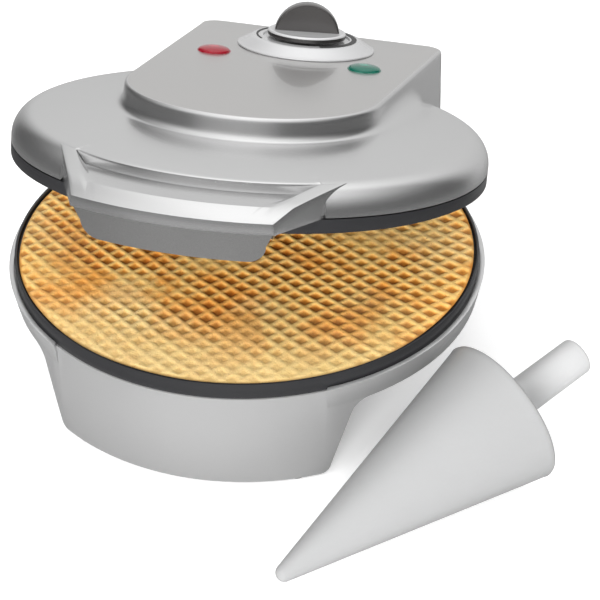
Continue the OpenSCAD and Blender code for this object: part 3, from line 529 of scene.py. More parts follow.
class Workshop:
    """Turns shapes into finished objects."""

    def __init__(self, materials: Materials, turn: Matrix) -> None:
        self.materials = materials
        self.turn = turn

    def build(self, shape: Shape, piece: Piece, thickness: float = 0.0, bevel: float = 0.0,
              segments: int = 2, place: Matrix | None = None) -> bpy.types.Object:
        """Makes the object of a shape.

        Args:
            shape: the shape in millimetres.
            piece: where it belongs.
            thickness: wall that is added inwards, in millimetres.
            bevel: rounding of the sharp edges, in millimetres.
            segments: segments of that rounding.
            place: turn and shift of the shape, in millimetres.

        Returns:
            The finished object.
        """
        mesh = bpy.data.meshes.new(piece.name)
        mesh.from_pydata([tuple(p) for p in shape.points], [], shape.faces)
        return self.finish(mesh, piece, thickness, bevel, segments, place, scale=MM)

    def from_node(self, node: str, piece: Piece, bevel: float, segments: int = 2) -> bpy.types.Object:
        """Makes an object from a CAD node with its edges rounded.

        Args:
            node: the node's name.
            piece: where it belongs.
            bevel: rounding of the edges, in millimetres.
            segments: segments of that rounding.

        Returns:
            The finished object.
        """
        mesh = bpy.data.objects[node].data.copy()
        mesh.name = piece.name
        work = bmesh.new()
        work.from_mesh(mesh)
        bmesh.ops.remove_doubles(work, verts=work.verts, dist=2e-6)
        bmesh.ops.dissolve_limit(work, angle_limit=math.radians(0.4), verts=work.verts, edges=work.edges)
        work.to_mesh(mesh)
        work.free()
        return self.finish(mesh, piece, 0.0, bevel, segments, None, scale=1.0)

    def finish(self, mesh: bpy.types.Mesh, piece: Piece, thickness: float, bevel: float, segments: int,
               place: Matrix | None, scale: float) -> bpy.types.Object:
        """Cleans, thickens, rounds, places and binds a mesh.

        Args:
            mesh: the mesh.
            piece: where it belongs.
            thickness: wall that is added inwards, in millimetres.
            bevel: rounding of the sharp edges, in millimetres.
            segments: segments of that rounding.
            place: turn and shift, in millimetres.
            scale: metres for each unit of the mesh.

        Returns:
            The finished object.
        """
        unit = 1.0 / scale * MM
        work = bmesh.new()
        work.from_mesh(mesh)
        bmesh.ops.remove_doubles(work, verts=work.verts, dist=0.002 * unit)
        bmesh.ops.dissolve_degenerate(work, edges=work.edges, dist=0.001 * unit)
        bmesh.ops.recalc_face_normals(work, faces=work.faces)
        work.to_mesh(mesh)
        work.free()
        obj = bpy.data.objects.new(piece.name, mesh)
        bpy.context.scene.collection.objects.link(obj)
        if thickness:
            solid = obj.modifiers.new("wall", "SOLIDIFY")
            solid.thickness = thickness * unit
            solid.offset = -1.0
            solid.use_even_offset = True
        if bevel:
            round_off = obj.modifiers.new("edges", "BEVEL")
            round_off.width = bevel * unit
            round_off.segments = segments
            round_off.limit_method = "ANGLE"
            round_off.angle_limit = math.radians(28.0)
            round_off.use_clamp_overlap = True
            round_off.harden_normals = False
        if obj.modifiers:
            graph = bpy.context.evaluated_depsgraph_get()
            finished = bpy.data.meshes.new_from_object(obj.evaluated_get(graph))
            obj.modifiers.clear()
            obj.data = finished
            finished.name = piece.name
        obj.data.transform(Matrix.Scale(scale, 4) @ (place or Matrix.Identity(4)))
        obj.data.polygons.foreach_set("use_smooth", [True] * len(obj.data.polygons))
        obj.data.set_sharp_from_angle(angle=math.radians(piece.crease))
        obj.data.materials.clear()
        obj.data.materials.append(self.materials.get(piece.look or piece.slot))
        self.bind(obj, piece)
        return obj

    def lid_faces(self, obj: bpy.types.Object) -> Iterable[tuple[bpy.types.MeshPolygon, Vector, Vector]]:
        """Gives an object's faces as they lie with the lid closed.

        Args:
            obj: an object on the lid.

        Yields:
            Each face, its middle in millimetres and its direction.
        """
        back = self.turn.inverted()
        for face in obj.data.polygons:
            yield face, back @ (face.center / MM), back.to_3x3() @ face.normal

    def bind(self, obj: bpy.types.Object, piece: Piece) -> None:
        """Lets an object ride on its body and stand for its nodes.

        Args:
            obj: the object.
            piece: where it belongs.
        """
        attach(obj, piece.body.value)
        if piece.nodes:
            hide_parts(*piece.nodes)
        LOG.info("%s: %d faces", piece.name, len(obj.data.polygons))


def arc_points(cx: float, cz: float, radius: float, start: float, end: float, steps: int) -> list[Point]:
    """Gives points of an arc.

    Args:
        cx: centre's first coordinate.
        cz: centre's second coordinate.
        radius: the radius.
        start: first angle in degrees.
        end: last angle in degrees.
        steps: steps between them.

    Returns:
        The points.
    """
    return [(cx + radius * math.cos(math.radians(start + (end - start) * i / steps)),
             cz + radius * math.sin(math.radians(start + (end - start) * i / steps))) for i in range(steps + 1)]


def ease(low: float, high: float, value: float) -> float:
    """Gives a smooth step.

    Args:
        low: value where it is 0.
        high: value where it is 1.
        value: the value.

    Returns:
        A number from 0 to 1.
    """
    t = min(1.0, max(0.0, (value - low) / (high - low)))
    return t * t * (3.0 - 2.0 * t)


# ---------------------------------------------------------------- lid


class LidShape:
    """Outline and section of the lid, closed, in millimetres."""

    top = 95.5
    edge = 2.0
    low = 66.1
    tower_low = 62.1
    tower_r = 61.6
    side_front = 61.6
    side_rear = 66.6
    corner = 10.0
    back = 141.0
    draft = 2.8
    edge_r = 12.0
    edge_c = (101.9, 67.67)
    dome_r = 639.5
    dome_c = -551.5
    seat_r = 106.1
    seat_deg = 31.6
    cheek_rear = 69.5
    cheek_y = 75.5
    cheek_slope = 0.505
    wall = 2.2

    @classmethod
    def plan_radius(cls, angle: float, grow: float) -> float:
        """Gives the tower's radius from the plates' axis in one direction.

        Args:
            angle: direction in radians, 0 along +X.
            grow: widening of the outline.

        Returns:
            The radius.
        """
        c, s = abs(math.cos(angle)), math.sin(angle)
        if s <= 0.0:
            return cls.tower_r + grow
        centre = (cls.side_rear + 0.4 + grow - cls.corner, cls.back - cls.corner)
        slope = (cls.side_rear - cls.side_front) / centre[1]
        side = (cls.side_front + grow) / max(1e-9, c - slope * s)
        if side * s <= centre[1]:
            return side
        rear = cls.back / s
        if rear * c <= centre[0]:
            return rear
        along = c * centre[0] + s * centre[1]
        return along + math.sqrt(max(0.0, cls.corner ** 2 - (centre[0] ** 2 + centre[1] ** 2 - along ** 2)))

    @classmethod
    def dome_z(cls, radius: float) -> float:
        """Gives the dome's height at a radius.

        Args:
            radius: distance from the plates' axis.

        Returns:
            The height.
        """
        return cls.dome_c + math.sqrt(cls.dome_r ** 2 - radius ** 2)

    @classmethod
    def seated(cls, angle: float) -> bool:
        """Tells if the handle's seat lies in a direction.

        Args:
            angle: direction in radians.

        Returns:
            True if the dome ends at the seat there.
        """
        return -math.sin(angle) > math.cos(math.radians(cls.seat_deg))

    @classmethod
    def cheek_half(cls, depth: float, inset: float = 0.0) -> float:
        """Gives the handle's half width.

        Args:
            depth: distance in front of the plates' axis.
            inset: how far inside the cheek's face.

        Returns:
            The half width.
        """
        return cls.cheek_rear - cls.cheek_slope * (depth - cls.cheek_y) - inset


class Lid:
    """Shell of the lid with its tower, and the handle."""

    fillet_steps = 8
    dome_steps = 26
    rim_steps = 12

    def __init__(self, shop: Workshop) -> None:
        self.shop = shop

    @staticmethod
    def angles() -> list[float]:
        """Gives the directions of the lid's sections.

        Returns:
            Angles in radians, round the whole lid.
        """
        marks = [i * 2.0 for i in range(180)]
        corner = math.degrees(math.atan2(LidShape.back - LidShape.corner, LidShape.side_rear))
        marks += [corner + 0.5 * i for i in range(-3, 15)] + [180.0 - corner - 0.5 * i for i in range(-3, 15)]
        for off in (LidShape.seat_deg - 0.15, LidShape.seat_deg + 0.15):
            marks += [270.0 - off, 270.0 + off]
        marks += [50.0 + 0.5 * i for i in range(16)] + [130.0 - 0.5 * i for i in range(16)]
        kept: list[float] = []
        for mark in sorted(m % 360.0 for m in marks):
            if not kept or mark - kept[-1] > 0.24:
                kept.append(mark)
        return [math.radians(m) for m in kept]

    def section(self, angle: float) -> tuple[list[Point], int]:
        """Gives the lid's section in one direction, from the panel's edge to the inner lip.

        Args:
            angle: direction in radians.

        Returns:
            Radius and height of each point, and the number of points on the panel's edge.
        """
        s = LidShape
        height = s.top - s.tower_low
        probe = 0.002
        r0, r1 = s.plan_radius(angle - probe, 0.0), s.plan_radius(angle + probe, 0.0)
        lean = abs(math.atan2((r1 - r0) / (2.0 * probe), 0.5 * (r0 + r1)))
        spread = 1.0 / max(0.35, math.cos(lean))

        def wall_r(z: float) -> float:
            return s.plan_radius(angle, s.draft * (s.top - z) / height)

        points: list[Point] = []
        base = s.plan_radius(angle, 0.0)
        for i in range(6):
            turn = math.radians(90.0 - 90.0 * i / 5)
            inset = s.edge * (1.0 - math.cos(turn)) * spread
            z = s.top - s.edge + s.edge * math.sin(turn)
            points.append((wall_r(z) - inset if i else base - s.edge * spread, z))
        edge_count = len(points)
        front = ease(-0.75, 0.25, -math.sin(angle))
        side = (14.0 - 10.0 * front)
        profile = self.dome_profile(angle)
        radii = [p[0] for p in profile]
        foot = wall_r(s.dome_z(min(base + 2.0, s.edge_c[0])))
        limit = max(radii)
        room = limit - foot
        if room > 0.6:
            reach = min(side * spread, room * 0.55)
            rise = min(side, (s.top - s.edge - s.dome_z(min(foot, s.edge_c[0]))) * 0.72)
            z_foot = self.height_at(profile, foot)
            z_high = z_foot + rise * min(1.0, reach / (side * spread) * 1.6)
            for i in range(1, 4):
                z = s.top - s.edge + (z_high - s.top + s.edge) * i / 4
                points.append((wall_r(z), z))
            start = (wall_r(z_high), z_high)
            end = (foot + reach, self.height_at(profile, foot + reach))
            corner = (wall_r(z_foot), z_foot)
            for i in range(self.fillet_steps + 1):
                t = i / self.fillet_steps
                a, b, c = (1 - t) ** 2, 2 * t * (1 - t), t * t
                points.append((a * start[0] + b * corner[0] + c * end[0], a * start[1] + b * corner[1] + c * end[1]))
            rest = self.rest_of(profile, end[0])
        else:
            z_low = s.tower_low
            count = 3 + self.fillet_steps + 1
            for i in range(1, count + 1):
                z = s.top - s.edge + (z_low - s.top + s.edge) * i / count
                points.append((wall_r(z), z))
            rest = [points[-1]] * (self.dome_steps + self.rim_steps)
        return points + rest, edge_count

    def dome_profile(self, angle: float) -> list[Point]:
        """Gives the dome's section out to its rim or to the handle's seat.

        Args:
            angle: direction in radians.

        Returns:
            Radius and height of each point from the axis outwards.
        """
        s = LidShape
        dome = [(r, s.dome_z(r)) for r in np.linspace(40.0, 103.5, 60)]
        tangent = math.degrees(math.atan2(s.edge_c[0], s.edge_c[1] - s.dome_c))
        full = dome + arc_points(s.edge_c[0], s.edge_c[1], s.edge_r, 90.0 - tangent, -7.5, 24)
        if not s.seated(angle):
            return full
        radius = 0.8
        start = s.seat_r - radius
        kept = [p for p in full if p[0] < start]
        start_z = self.height_at(full, start)
        rounded = [(start + radius * math.sin(math.radians(a)), start_z - radius * (1 - math.cos(math.radians(a))))
                   for a in range(0, 91, 15)]
        return kept + rounded + [(s.seat_r, rounded[-1][1] - 1.0), (s.seat_r, 73.6)]

    @staticmethod
    def height_at(profile: Sequence[Point], radius: float) -> float:
        """Reads a section's height at a radius.

        Args:
            profile: the section.
            radius: distance from the axis.

        Returns:
            The height.
        """
        for (r0, z0), (r1, z1) in zip(profile, profile[1:]):
            if r0 <= radius <= r1 and r1 > r0:
                return z0 + (z1 - z0) * (radius - r0) / (r1 - r0)
        return profile[-1][1]

    def rest_of(self, profile: Sequence[Point], start: float) -> list[Point]:
        """Gives the section beyond a radius in evenly spread points.

        Args:
            profile: the section.
            start: radius where it starts.

        Returns:
            The points.
        """
        chain = [(start, self.height_at(profile, start))]
        peak = False
        for r, z in profile:
            peak = peak or r > start + 0.05
            if peak:
                chain.append((r, z))
        lengths = [0.0]
        for a, b in zip(chain, chain[1:]):
            bend = 1.0 + 2.0 * (b[0] > 98.0)
            lengths.append(lengths[-1] + bend * math.hypot(b[0] - a[0], b[1] - a[1]))
        count = self.dome_steps + self.rim_steps
        result: list[Point] = []
        place = 0
        for i in range(1, count + 1):
            target = lengths[-1] * i / count
            while place < len(lengths) - 2 and lengths[place + 1] < target:
                place += 1
            share = (target - lengths[place]) / max(1e-9, lengths[place + 1] - lengths[place])
            a, b = chain[place], chain[place + 1]
            result.append((a[0] + (b[0] - a[0]) * share, a[1] + (b[1] - a[1]) * share))
        return result

    def shell(self) -> None:
        """Builds the shell of the lid."""
        shape = Shape()
        angles = self.angles()
        sections = [self.section(a)[0] for a in angles]
        count = len(sections[0])
        rows = [[(p[k][0] * math.cos(a), p[k][0] * math.sin(a), p[k][1]) for a, p in zip(angles, sections)]
                for k in range(count)]
        rings = shape.loft(rows, closed=True)
        holes = [(0.0, Dial.centre_y, 5.1, 24), (-Dial.lamp_x, Dial.lamp_y, 7.7, 32), (Dial.lamp_x, Dial.lamp_y, 7.7, 32)]
        work = bmesh.new()
        loops: list[list[Vector]] = [[shape.points[i] for i in rings[0]]]
        for x, y, radius, steps in holes:
            loops.append([Vector((x + radius * math.cos(math.tau * i / steps), y + radius * math.sin(math.tau * i / steps),
                                  LidShape.top)) for i in range(steps)])
        for loop in loops:
            verts = [work.verts.new(p) for p in loop]
            for a, b in zip(verts, verts[1:] + verts[:1]):
                work.edges.new((a, b))
        bmesh.ops.triangle_fill(work, use_beauty=True, use_dissolve=False, edges=work.edges[:], normal=(0, 0, 1))
        work.verts.index_update()
        first = len(shape.points)
        shape.points.extend(v.co.copy() for v in work.verts)
        shape.faces.extend(tuple(first + v.index for v in f.verts) for f in work.faces)
        work.free()
        skin = self.shop.build(shape, Piece("lid_shell_skin", Body.LID, "silver_shell", ("lid_shell",), crease=40.0),
                               thickness=LidShape.wall, place=self.shop.turn)
        skin.data.materials.append(self.shop.materials.get("panel"))
        for face, middle, _ in self.shop.lid_faces(skin):
            if abs(middle.z - LidShape.top) < 0.1:
                face.material_index = 1

    def grip(self) -> None:
        """Builds the grip with its two cheeks."""
        s = LidShape
        profile = [(106.35, 66.3), (106.35, 74.3), (107.2, 74.75), (110.0, 74.9), (113.5, 74.8), (116.5, 74.6),
                   (120.0, 74.35), (124.9, 74.1), (133.0, 69.3), (132.1, 64.2)]
        shape = Shape()
        steps = 48
        rows: list[list[tuple[float, float, float]]] = []
        for k, (r, z) in enumerate(profile):
            end = self.cheek_angle(r)
            row = []
            for i in range(steps + 1):
                t = 2.0 * i / steps - 1.0
                angle = t * end
                rise = 79.1 - 0.27 * (r - profile[0][0]) - z
                lift = rise * ease(0.74, 0.84, abs(t)) if 0 < k < 7 else 0.0
                row.append((r * math.sin(angle), -r * math.cos(angle), z + lift))
            rows.append(row)
        made = shape.loft(rows)
        for column in (0, -1):
            shape.faces.append(tuple(r[column] for r in made))
        self.shop.build(shape, Piece("handle_grip", Body.LID, "silver_shell", ("handle_upper",), crease=25.0),
                        thickness=2.0, bevel=0.28, place=self.shop.turn)

    @staticmethod
    def cheek_angle(radius: float) -> float:
        """Gives the angle from the front at which a radius meets the cheek.

        Args:
            radius: distance from the plates' axis.

        Returns:
            The angle in radians.
        """
        low, high = 0.05, 0.9
        for _ in range(40):
            middle = 0.5 * (low + high)
            if radius * math.sin(middle) < LidShape.cheek_half(radius * math.cos(middle), 0.1):
                low = middle
            else:
                high = middle
        return low

    def apron(self) -> None:
        """Builds the curved apron below the grip."""
        top_z, low_z, corner = 64.15, 50.2, 8.0
        top_w = LidShape.cheek_half(126.0)
        low_w = top_w - 3.0
        shape = Shape()
        rows = []
        levels = [(118.2, top_z, top_w - 0.4), (129.0, top_z, top_w - 0.4), (131.0, top_z - 0.05, top_w)]
        for i in range(1, 8):
            z = top_z + (low_z + corner - top_z) * i / 7
            levels.append((131.0 - 5.0 * (top_z - z) / (top_z - low_z), z, top_w + (low_w - top_w) * i / 7))
        for i in range(1, 10):
            a = math.radians(90.0 * i / 9)
            z = low_z + corner * (1.0 - math.sin(a))
            levels.append((131.0 - 5.0 * (top_z - z) / (top_z - low_z), z, low_w - corner * (1.0 - math.cos(a))))
        for r, z, half in levels:
            row = []
            for i in range(41):
                x = half * math.sin(math.radians(90.0 * (2.0 * i / 40 - 1.0)))
                row.append((x, -math.sqrt(r * r - x * x), z))
            rows.append(row)
        shape.loft(rows)
        self.shop.build(shape, Piece("handle_apron", Body.LID, "silver_apron", ("handle_lower",), crease=30.0),
                        thickness=2.3, bevel=0.35, place=self.shop.turn)


# ---------------------------------------------------------------- dial


class Dial:
    """Bezel, knob and lamps on the panel."""

    centre_y = 100.0
    lamp_x = 39.4
    lamp_y = 63.6
    lamp_r = 8.6
    lamp_h = 2.6
    bezel_top = 100.7
    knob_low = 101.1
    knob_r = 20.5
    disc_h = 3.2
    fin_half = 16.8
    fin_h = 14.3
    fin_t = 8.4
    fin_turn = 15.0

    def __init__(self, shop: Workshop) -> None:
        self.shop = shop

    def bezel(self) -> None:
        """Builds the bezel round the knob."""
        low, top = LidShape.top + 0.02, self.bezel_top
        shape = Shape()
        profile = [(9.0, low), (35.7, low), (36.0, low + 0.35), (35.7, low + 0.85), (34.9, low + 1.2)]
        profile += [(34.9 - 6.3 * i / 6, low + 1.2 + (top - 0.35 - low - 1.2) * i / 6) for i in range(1, 7)]
        profile += [(28.0, top - 0.08), (27.2, top - 0.01), (25.0, top - 0.01), (22.9, top - 0.01), (22.75, top - 0.2),
                    (22.5, top - 0.9), (9.0, top - 0.9), (9.0, low)]
        shape.revolve(profile, 128, (0.0, self.centre_y))
        self.shop.build(shape, Piece("dial_bezel_ring", Body.LID, "bezel_silver", ("dial_bezel",), crease=30.0),
                        place=self.shop.turn)

    def knob(self) -> None:
        """Builds the knob: a disc with a half-round grip fin."""
        low, top = self.knob_low, self.knob_low + self.disc_h
        shape = Shape()
        r = self.knob_r
        profile = [(3.05, low), (r - 0.5, low), (r, low + 0.5), (r, top - 1.0), (r - 0.3, top - 0.4), (r - 0.9, top - 0.05),
                   (r - 1.5, top), (r - 2.0, top - 0.12), (14.0, top - 0.2), (6.0, top - 0.2), (0.02, top - 0.2)]
        shape.revolve(profile, 96, (0.0, self.centre_y))
        radius = (self.fin_half ** 2 + self.fin_h ** 2) / (2.0 * self.fin_h)
        centre = top + self.fin_h - radius
        reach = math.degrees(math.acos(max(-1.0, min(1.0, (top - 1.2 - centre) / radius))))
        arc = arc_points(0.0, centre, radius, 90.0 + reach, 90.0 - reach, 40)
        half = self.fin_t / 2.0
        c, s = math.cos(math.radians(self.fin_turn)), math.sin(math.radians(self.fin_turn))
        rows = []
        for depth, inset in ((-half, 0.9), (-half + 0.12, 0.42), (-half + 0.45, 0.12), (-half + 1.0, 0.0),
                             (0.0, 0.0), (half - 1.0, 0.0), (half - 0.45, 0.12), (half - 0.12, 0.42), (half, 0.9)):
            share = (radius - inset) / radius
            rows.append([(x * share * c - depth * s, self.centre_y + x * share * s + depth * c,
                          centre + (z - centre) * share) for x, z in arc])
        made = shape.loft(rows)
        for side, row in ((-1, made[0]), (1, made[-1])):
            face = Vector((-side * half * s, self.centre_y + side * half * c, top))
            hollow = shape.row([face + (shape.points[i] - face) * 0.93 + Vector((side * s, -side * c, 0.0)) * 0.25
                                for i in row])
            shape.bridge(row, hollow)
            shape.faces.append(tuple(hollow))
        knob = self.shop.build(shape, Piece("dial_knob", Body.KNOB, "knob_silver", ("control_knob",), crease=35.0),
                               place=self.shop.turn)
        knob.data.materials.append(self.shop.materials.get("knob_disc"))
        for face, middle, out in self.shop.lid_faces(knob):
            if out.z > 0.3 and top - 1.1 < middle.z < top + 0.01:
                face.material_index = 1

    def lamps(self) -> None:
        """Builds the two domed lenses."""
        for side, colour in ((-1.0, "red"), (1.0, "green")):
            shape = Shape()
            z = LidShape.top
            r = self.lamp_r - 0.35
            dome = [(r * math.cos(math.radians(a)), z + 0.25 + (self.lamp_h - 0.3) * math.sin(math.radians(a)) ** 0.9)
                    for a in range(0, 91, 9)]
            dome[-1] = (0.02, dome[-1][1])
            shape.revolve([(6.0, z - 6.0), (7.5, z - 6.0), (7.5, z + 0.01), (self.lamp_r, z + 0.01), (self.lamp_r, z + 0.2)]
                          + dome, 64, (side * self.lamp_x, self.lamp_y))
            self.shop.build(shape, Piece(f"{colour}_lamp_dome", Body.LID, f"{colour}_lens", (f"{colour}_lamp_lens",)),
                            place=self.shop.turn)


# ---------------------------------------------------------------- plates


@dataclass(frozen=True)
class PocketGrid:
    """The square pattern of the baking plates, in millimetres."""

    pitch: float = 7.0
    angle: float = 57.0
    radius: float = 108.6
    base: float = 4.6
    top: float = 3.1


GRID = PocketGrid()


class Plates:
    """The two baking plates with their raised squares, and the screws."""

    def __init__(self, shop: Workshop) -> None:
        self.shop = shop

    def tree(self, name: str, stud: bpy.types.Object, material: bpy.types.Material) -> bpy.types.NodeTree:
        """Makes the nodes that set studs on every mesh point and join them to one mesh.

        Args:
            name: the tree's name.
            stud: the object that is repeated.
            material: the material of the result.

        Returns:
            The node tree.
        """
        tree = bpy.data.node_groups.new(name, "GeometryNodeTree")
        tree.interface.new_socket("Geometry", in_out="INPUT", socket_type="NodeSocketGeometry")
        turn = tree.interface.new_socket("Turn", in_out="INPUT", socket_type="NodeSocketFloat")
        seed = tree.interface.new_socket("Seed", in_out="INPUT", socket_type="NodeSocketInt")
        wear = tree.interface.new_socket("Wear", in_out="INPUT", socket_type="NodeSocketFloat")
        tree.interface.new_socket("Geometry", in_out="OUTPUT", socket_type="NodeSocketGeometry")
        turn.default_value, seed.default_value, wear.default_value = 0.0, 7, 0.02
        nodes, links = tree.nodes, tree.links
        start, end = nodes.new("NodeGroupInput"), nodes.new("NodeGroupOutput")
        info = nodes.new("GeometryNodeObjectInfo")
        info.inputs["Object"].default_value = stud
        spread = nodes.new("GeometryNodeInstanceOnPoints")
        sizes = nodes.new("FunctionNodeRandomValue")
        sizes.data_type = "FLOAT"
        low = nodes.new("ShaderNodeMath")
        low.operation = "SUBTRACT"
        low.inputs[0].default_value = 1.0
        spin = nodes.new("ShaderNodeCombineXYZ")
        realize = nodes.new("GeometryNodeRealizeInstances")
        paint = nodes.new("GeometryNodeSetMaterial")
        paint.inputs["Material"].default_value = material
        sockets = {s.name: s for s in sizes.inputs if s.enabled}
        links.new(start.outputs["Geometry"], spread.inputs["Points"])
        links.new(info.outputs["Geometry"], spread.inputs["Instance"])
        links.new(start.outputs["Turn"], spin.inputs["Z"])
        links.new(spin.outputs[0], spread.inputs["Rotation"])
        links.new(start.outputs["Wear"], low.inputs[1])
        links.new(low.outputs[0], sockets["Min"])
        sockets["Max"].default_value = 1.0
        links.new(start.outputs["Seed"], sockets["Seed"])
        links.new([o for o in sizes.outputs if o.enabled][0], spread.inputs["Scale"])
        links.new(spread.outputs[0], realize.inputs[0])
        links.new(realize.outputs[0], paint.inputs[0])
        links.new(paint.outputs[0], end.inputs[0])
        return tree

    def repeat(self, stud: Shape, places: Sequence[tuple[float, float, float]], piece: Piece, turn: float,
               wear: float, place: Matrix | None) -> bpy.types.Object:
        """Repeats a stud at many places with Geometry Nodes.

        Args:
            stud: shape of one stud, in millimetres.
            places: where they go, in millimetres.
            piece: where the result belongs.
            turn: turn of each stud about Z in radians.
            wear: how much smaller the smallest stud is.
            place: turn and shift of the result, in millimetres.

        Returns:
            The finished object.
        """
        material = self.shop.materials.get(piece.look or piece.slot)
        one = bpy.data.meshes.new("stud")
        one.from_pydata([tuple(p) for p in stud.points], [], stud.faces)
        source = bpy.data.objects.new("stud", one)
        bpy.context.scene.collection.objects.link(source)
        cloud = bpy.data.meshes.new(piece.name)
        cloud.from_pydata([tuple(p) for p in places], [], [])
        obj = bpy.data.objects.new(piece.name, cloud)
        bpy.context.scene.collection.objects.link(obj)
        tree = self.tree(f"{piece.name}_nodes", source, material)
        modifier = obj.modifiers.new("studs", "NODES")
        modifier.node_group = tree
        inputs = {s.name: s.identifier for s in tree.interface.items_tree if s.in_out == "INPUT"}
        modifier[inputs["Turn"]] = turn
        modifier[inputs["Seed"]] = 11
        modifier[inputs["Wear"]] = wear
        graph = bpy.context.evaluated_depsgraph_get()
        mesh = bpy.data.meshes.new_from_object(obj.evaluated_get(graph))
        bpy.data.objects.remove(obj)
        bpy.data.objects.remove(source)
        mesh.name = piece.name
        return self.shop.finish(mesh, piece, 0.0, 0.0, 1, place, scale=MM)

    @staticmethod
    def stud(height: float) -> Shape:
        """Makes one raised square of a plate.

        Args:
            height: its height, negative if it points down.

        Returns:
            The shape.
        """
        shape = Shape()
        b, t = GRID.base / 2.0, GRID.top / 2.0
        corners = ((-1, -1), (1, -1), (1, 1), (-1, 1))
        rows = [[(x * k, y * k, z) for x, y in corners]
                for k, z in ((b, -0.02 * math.copysign(1.0, height)), (t + 0.1, height * 0.85), (t - 0.12, height))]
        made = shape.loft(rows, closed=True)
        shape.faces.append(tuple(made[-1]))
        return shape

    @staticmethod
    def places(z: float) -> list[tuple[float, float, float]]:
        """Gives the middles of the squares.

        Args:
            z: their height.

        Returns:
            The places.
        """
        turn = math.radians(GRID.angle)
        reach = int(GRID.radius / GRID.pitch) + 1
        found = []
        for i in range(-reach, reach + 1):
            for j in range(-reach, reach + 1):
                u, v = i * GRID.pitch, j * GRID.pitch
                if math.hypot(u, v) < GRID.radius - GRID.base * 0.75:
                    found.append((u * math.cos(turn) - v * math.sin(turn), u * math.sin(turn) + v * math.cos(turn), z))
        return found

    def build(self) -> None:
        """Builds both plates."""
        turn = math.radians(GRID.angle)
        self.shop.from_node("lower_plate", Piece("lower_plate_casting", Body.BASE, "plate_coating", ("lower_plate",)), 0.25)
        self.shop.from_node("upper_plate", Piece("upper_plate_casting", Body.LID, "plate_coating", ("upper_plate",)), 0.25)
        self.repeat(self.stud(0.45), self.places(55.4), Piece("lower_plate_squares", Body.BASE, "plate_coating"),
                    turn, 0.02, None)
        self.repeat(self.stud(-0.5), self.places(58.3), Piece("upper_plate_squares", Body.LID, "plate_coating"),
                    turn, 0.02, self.shop.turn)

    def screws(self) -> None:
        """Builds the screws of the two bottom covers."""
        shape = Shape()
        profile = [(1.5, 8.0), (1.5, 0.0), (3.0, 0.0), (2.95, -0.7), (2.6, -1.25), (1.9, -1.6), (1.45, -1.7), (1.2, -1.2),
                   (0.02, -0.9)]
        shape.revolve(profile, 24)
        ring = [(78.0 * math.cos(math.radians(a)), 78.0 * math.sin(math.radians(a)), 12.5) for a in (45, 135, 225, 315)]
        pair = [(side * 54.0, 127.5, 3.2) for side in (-1, 1)]
        self.repeat(shape, ring + pair, Piece("bottom_screws", Body.BASE, "screw_steel", ("cover_screws",)), 0.0, 0.0, None)


# ---------------------------------------------------------------- wafer


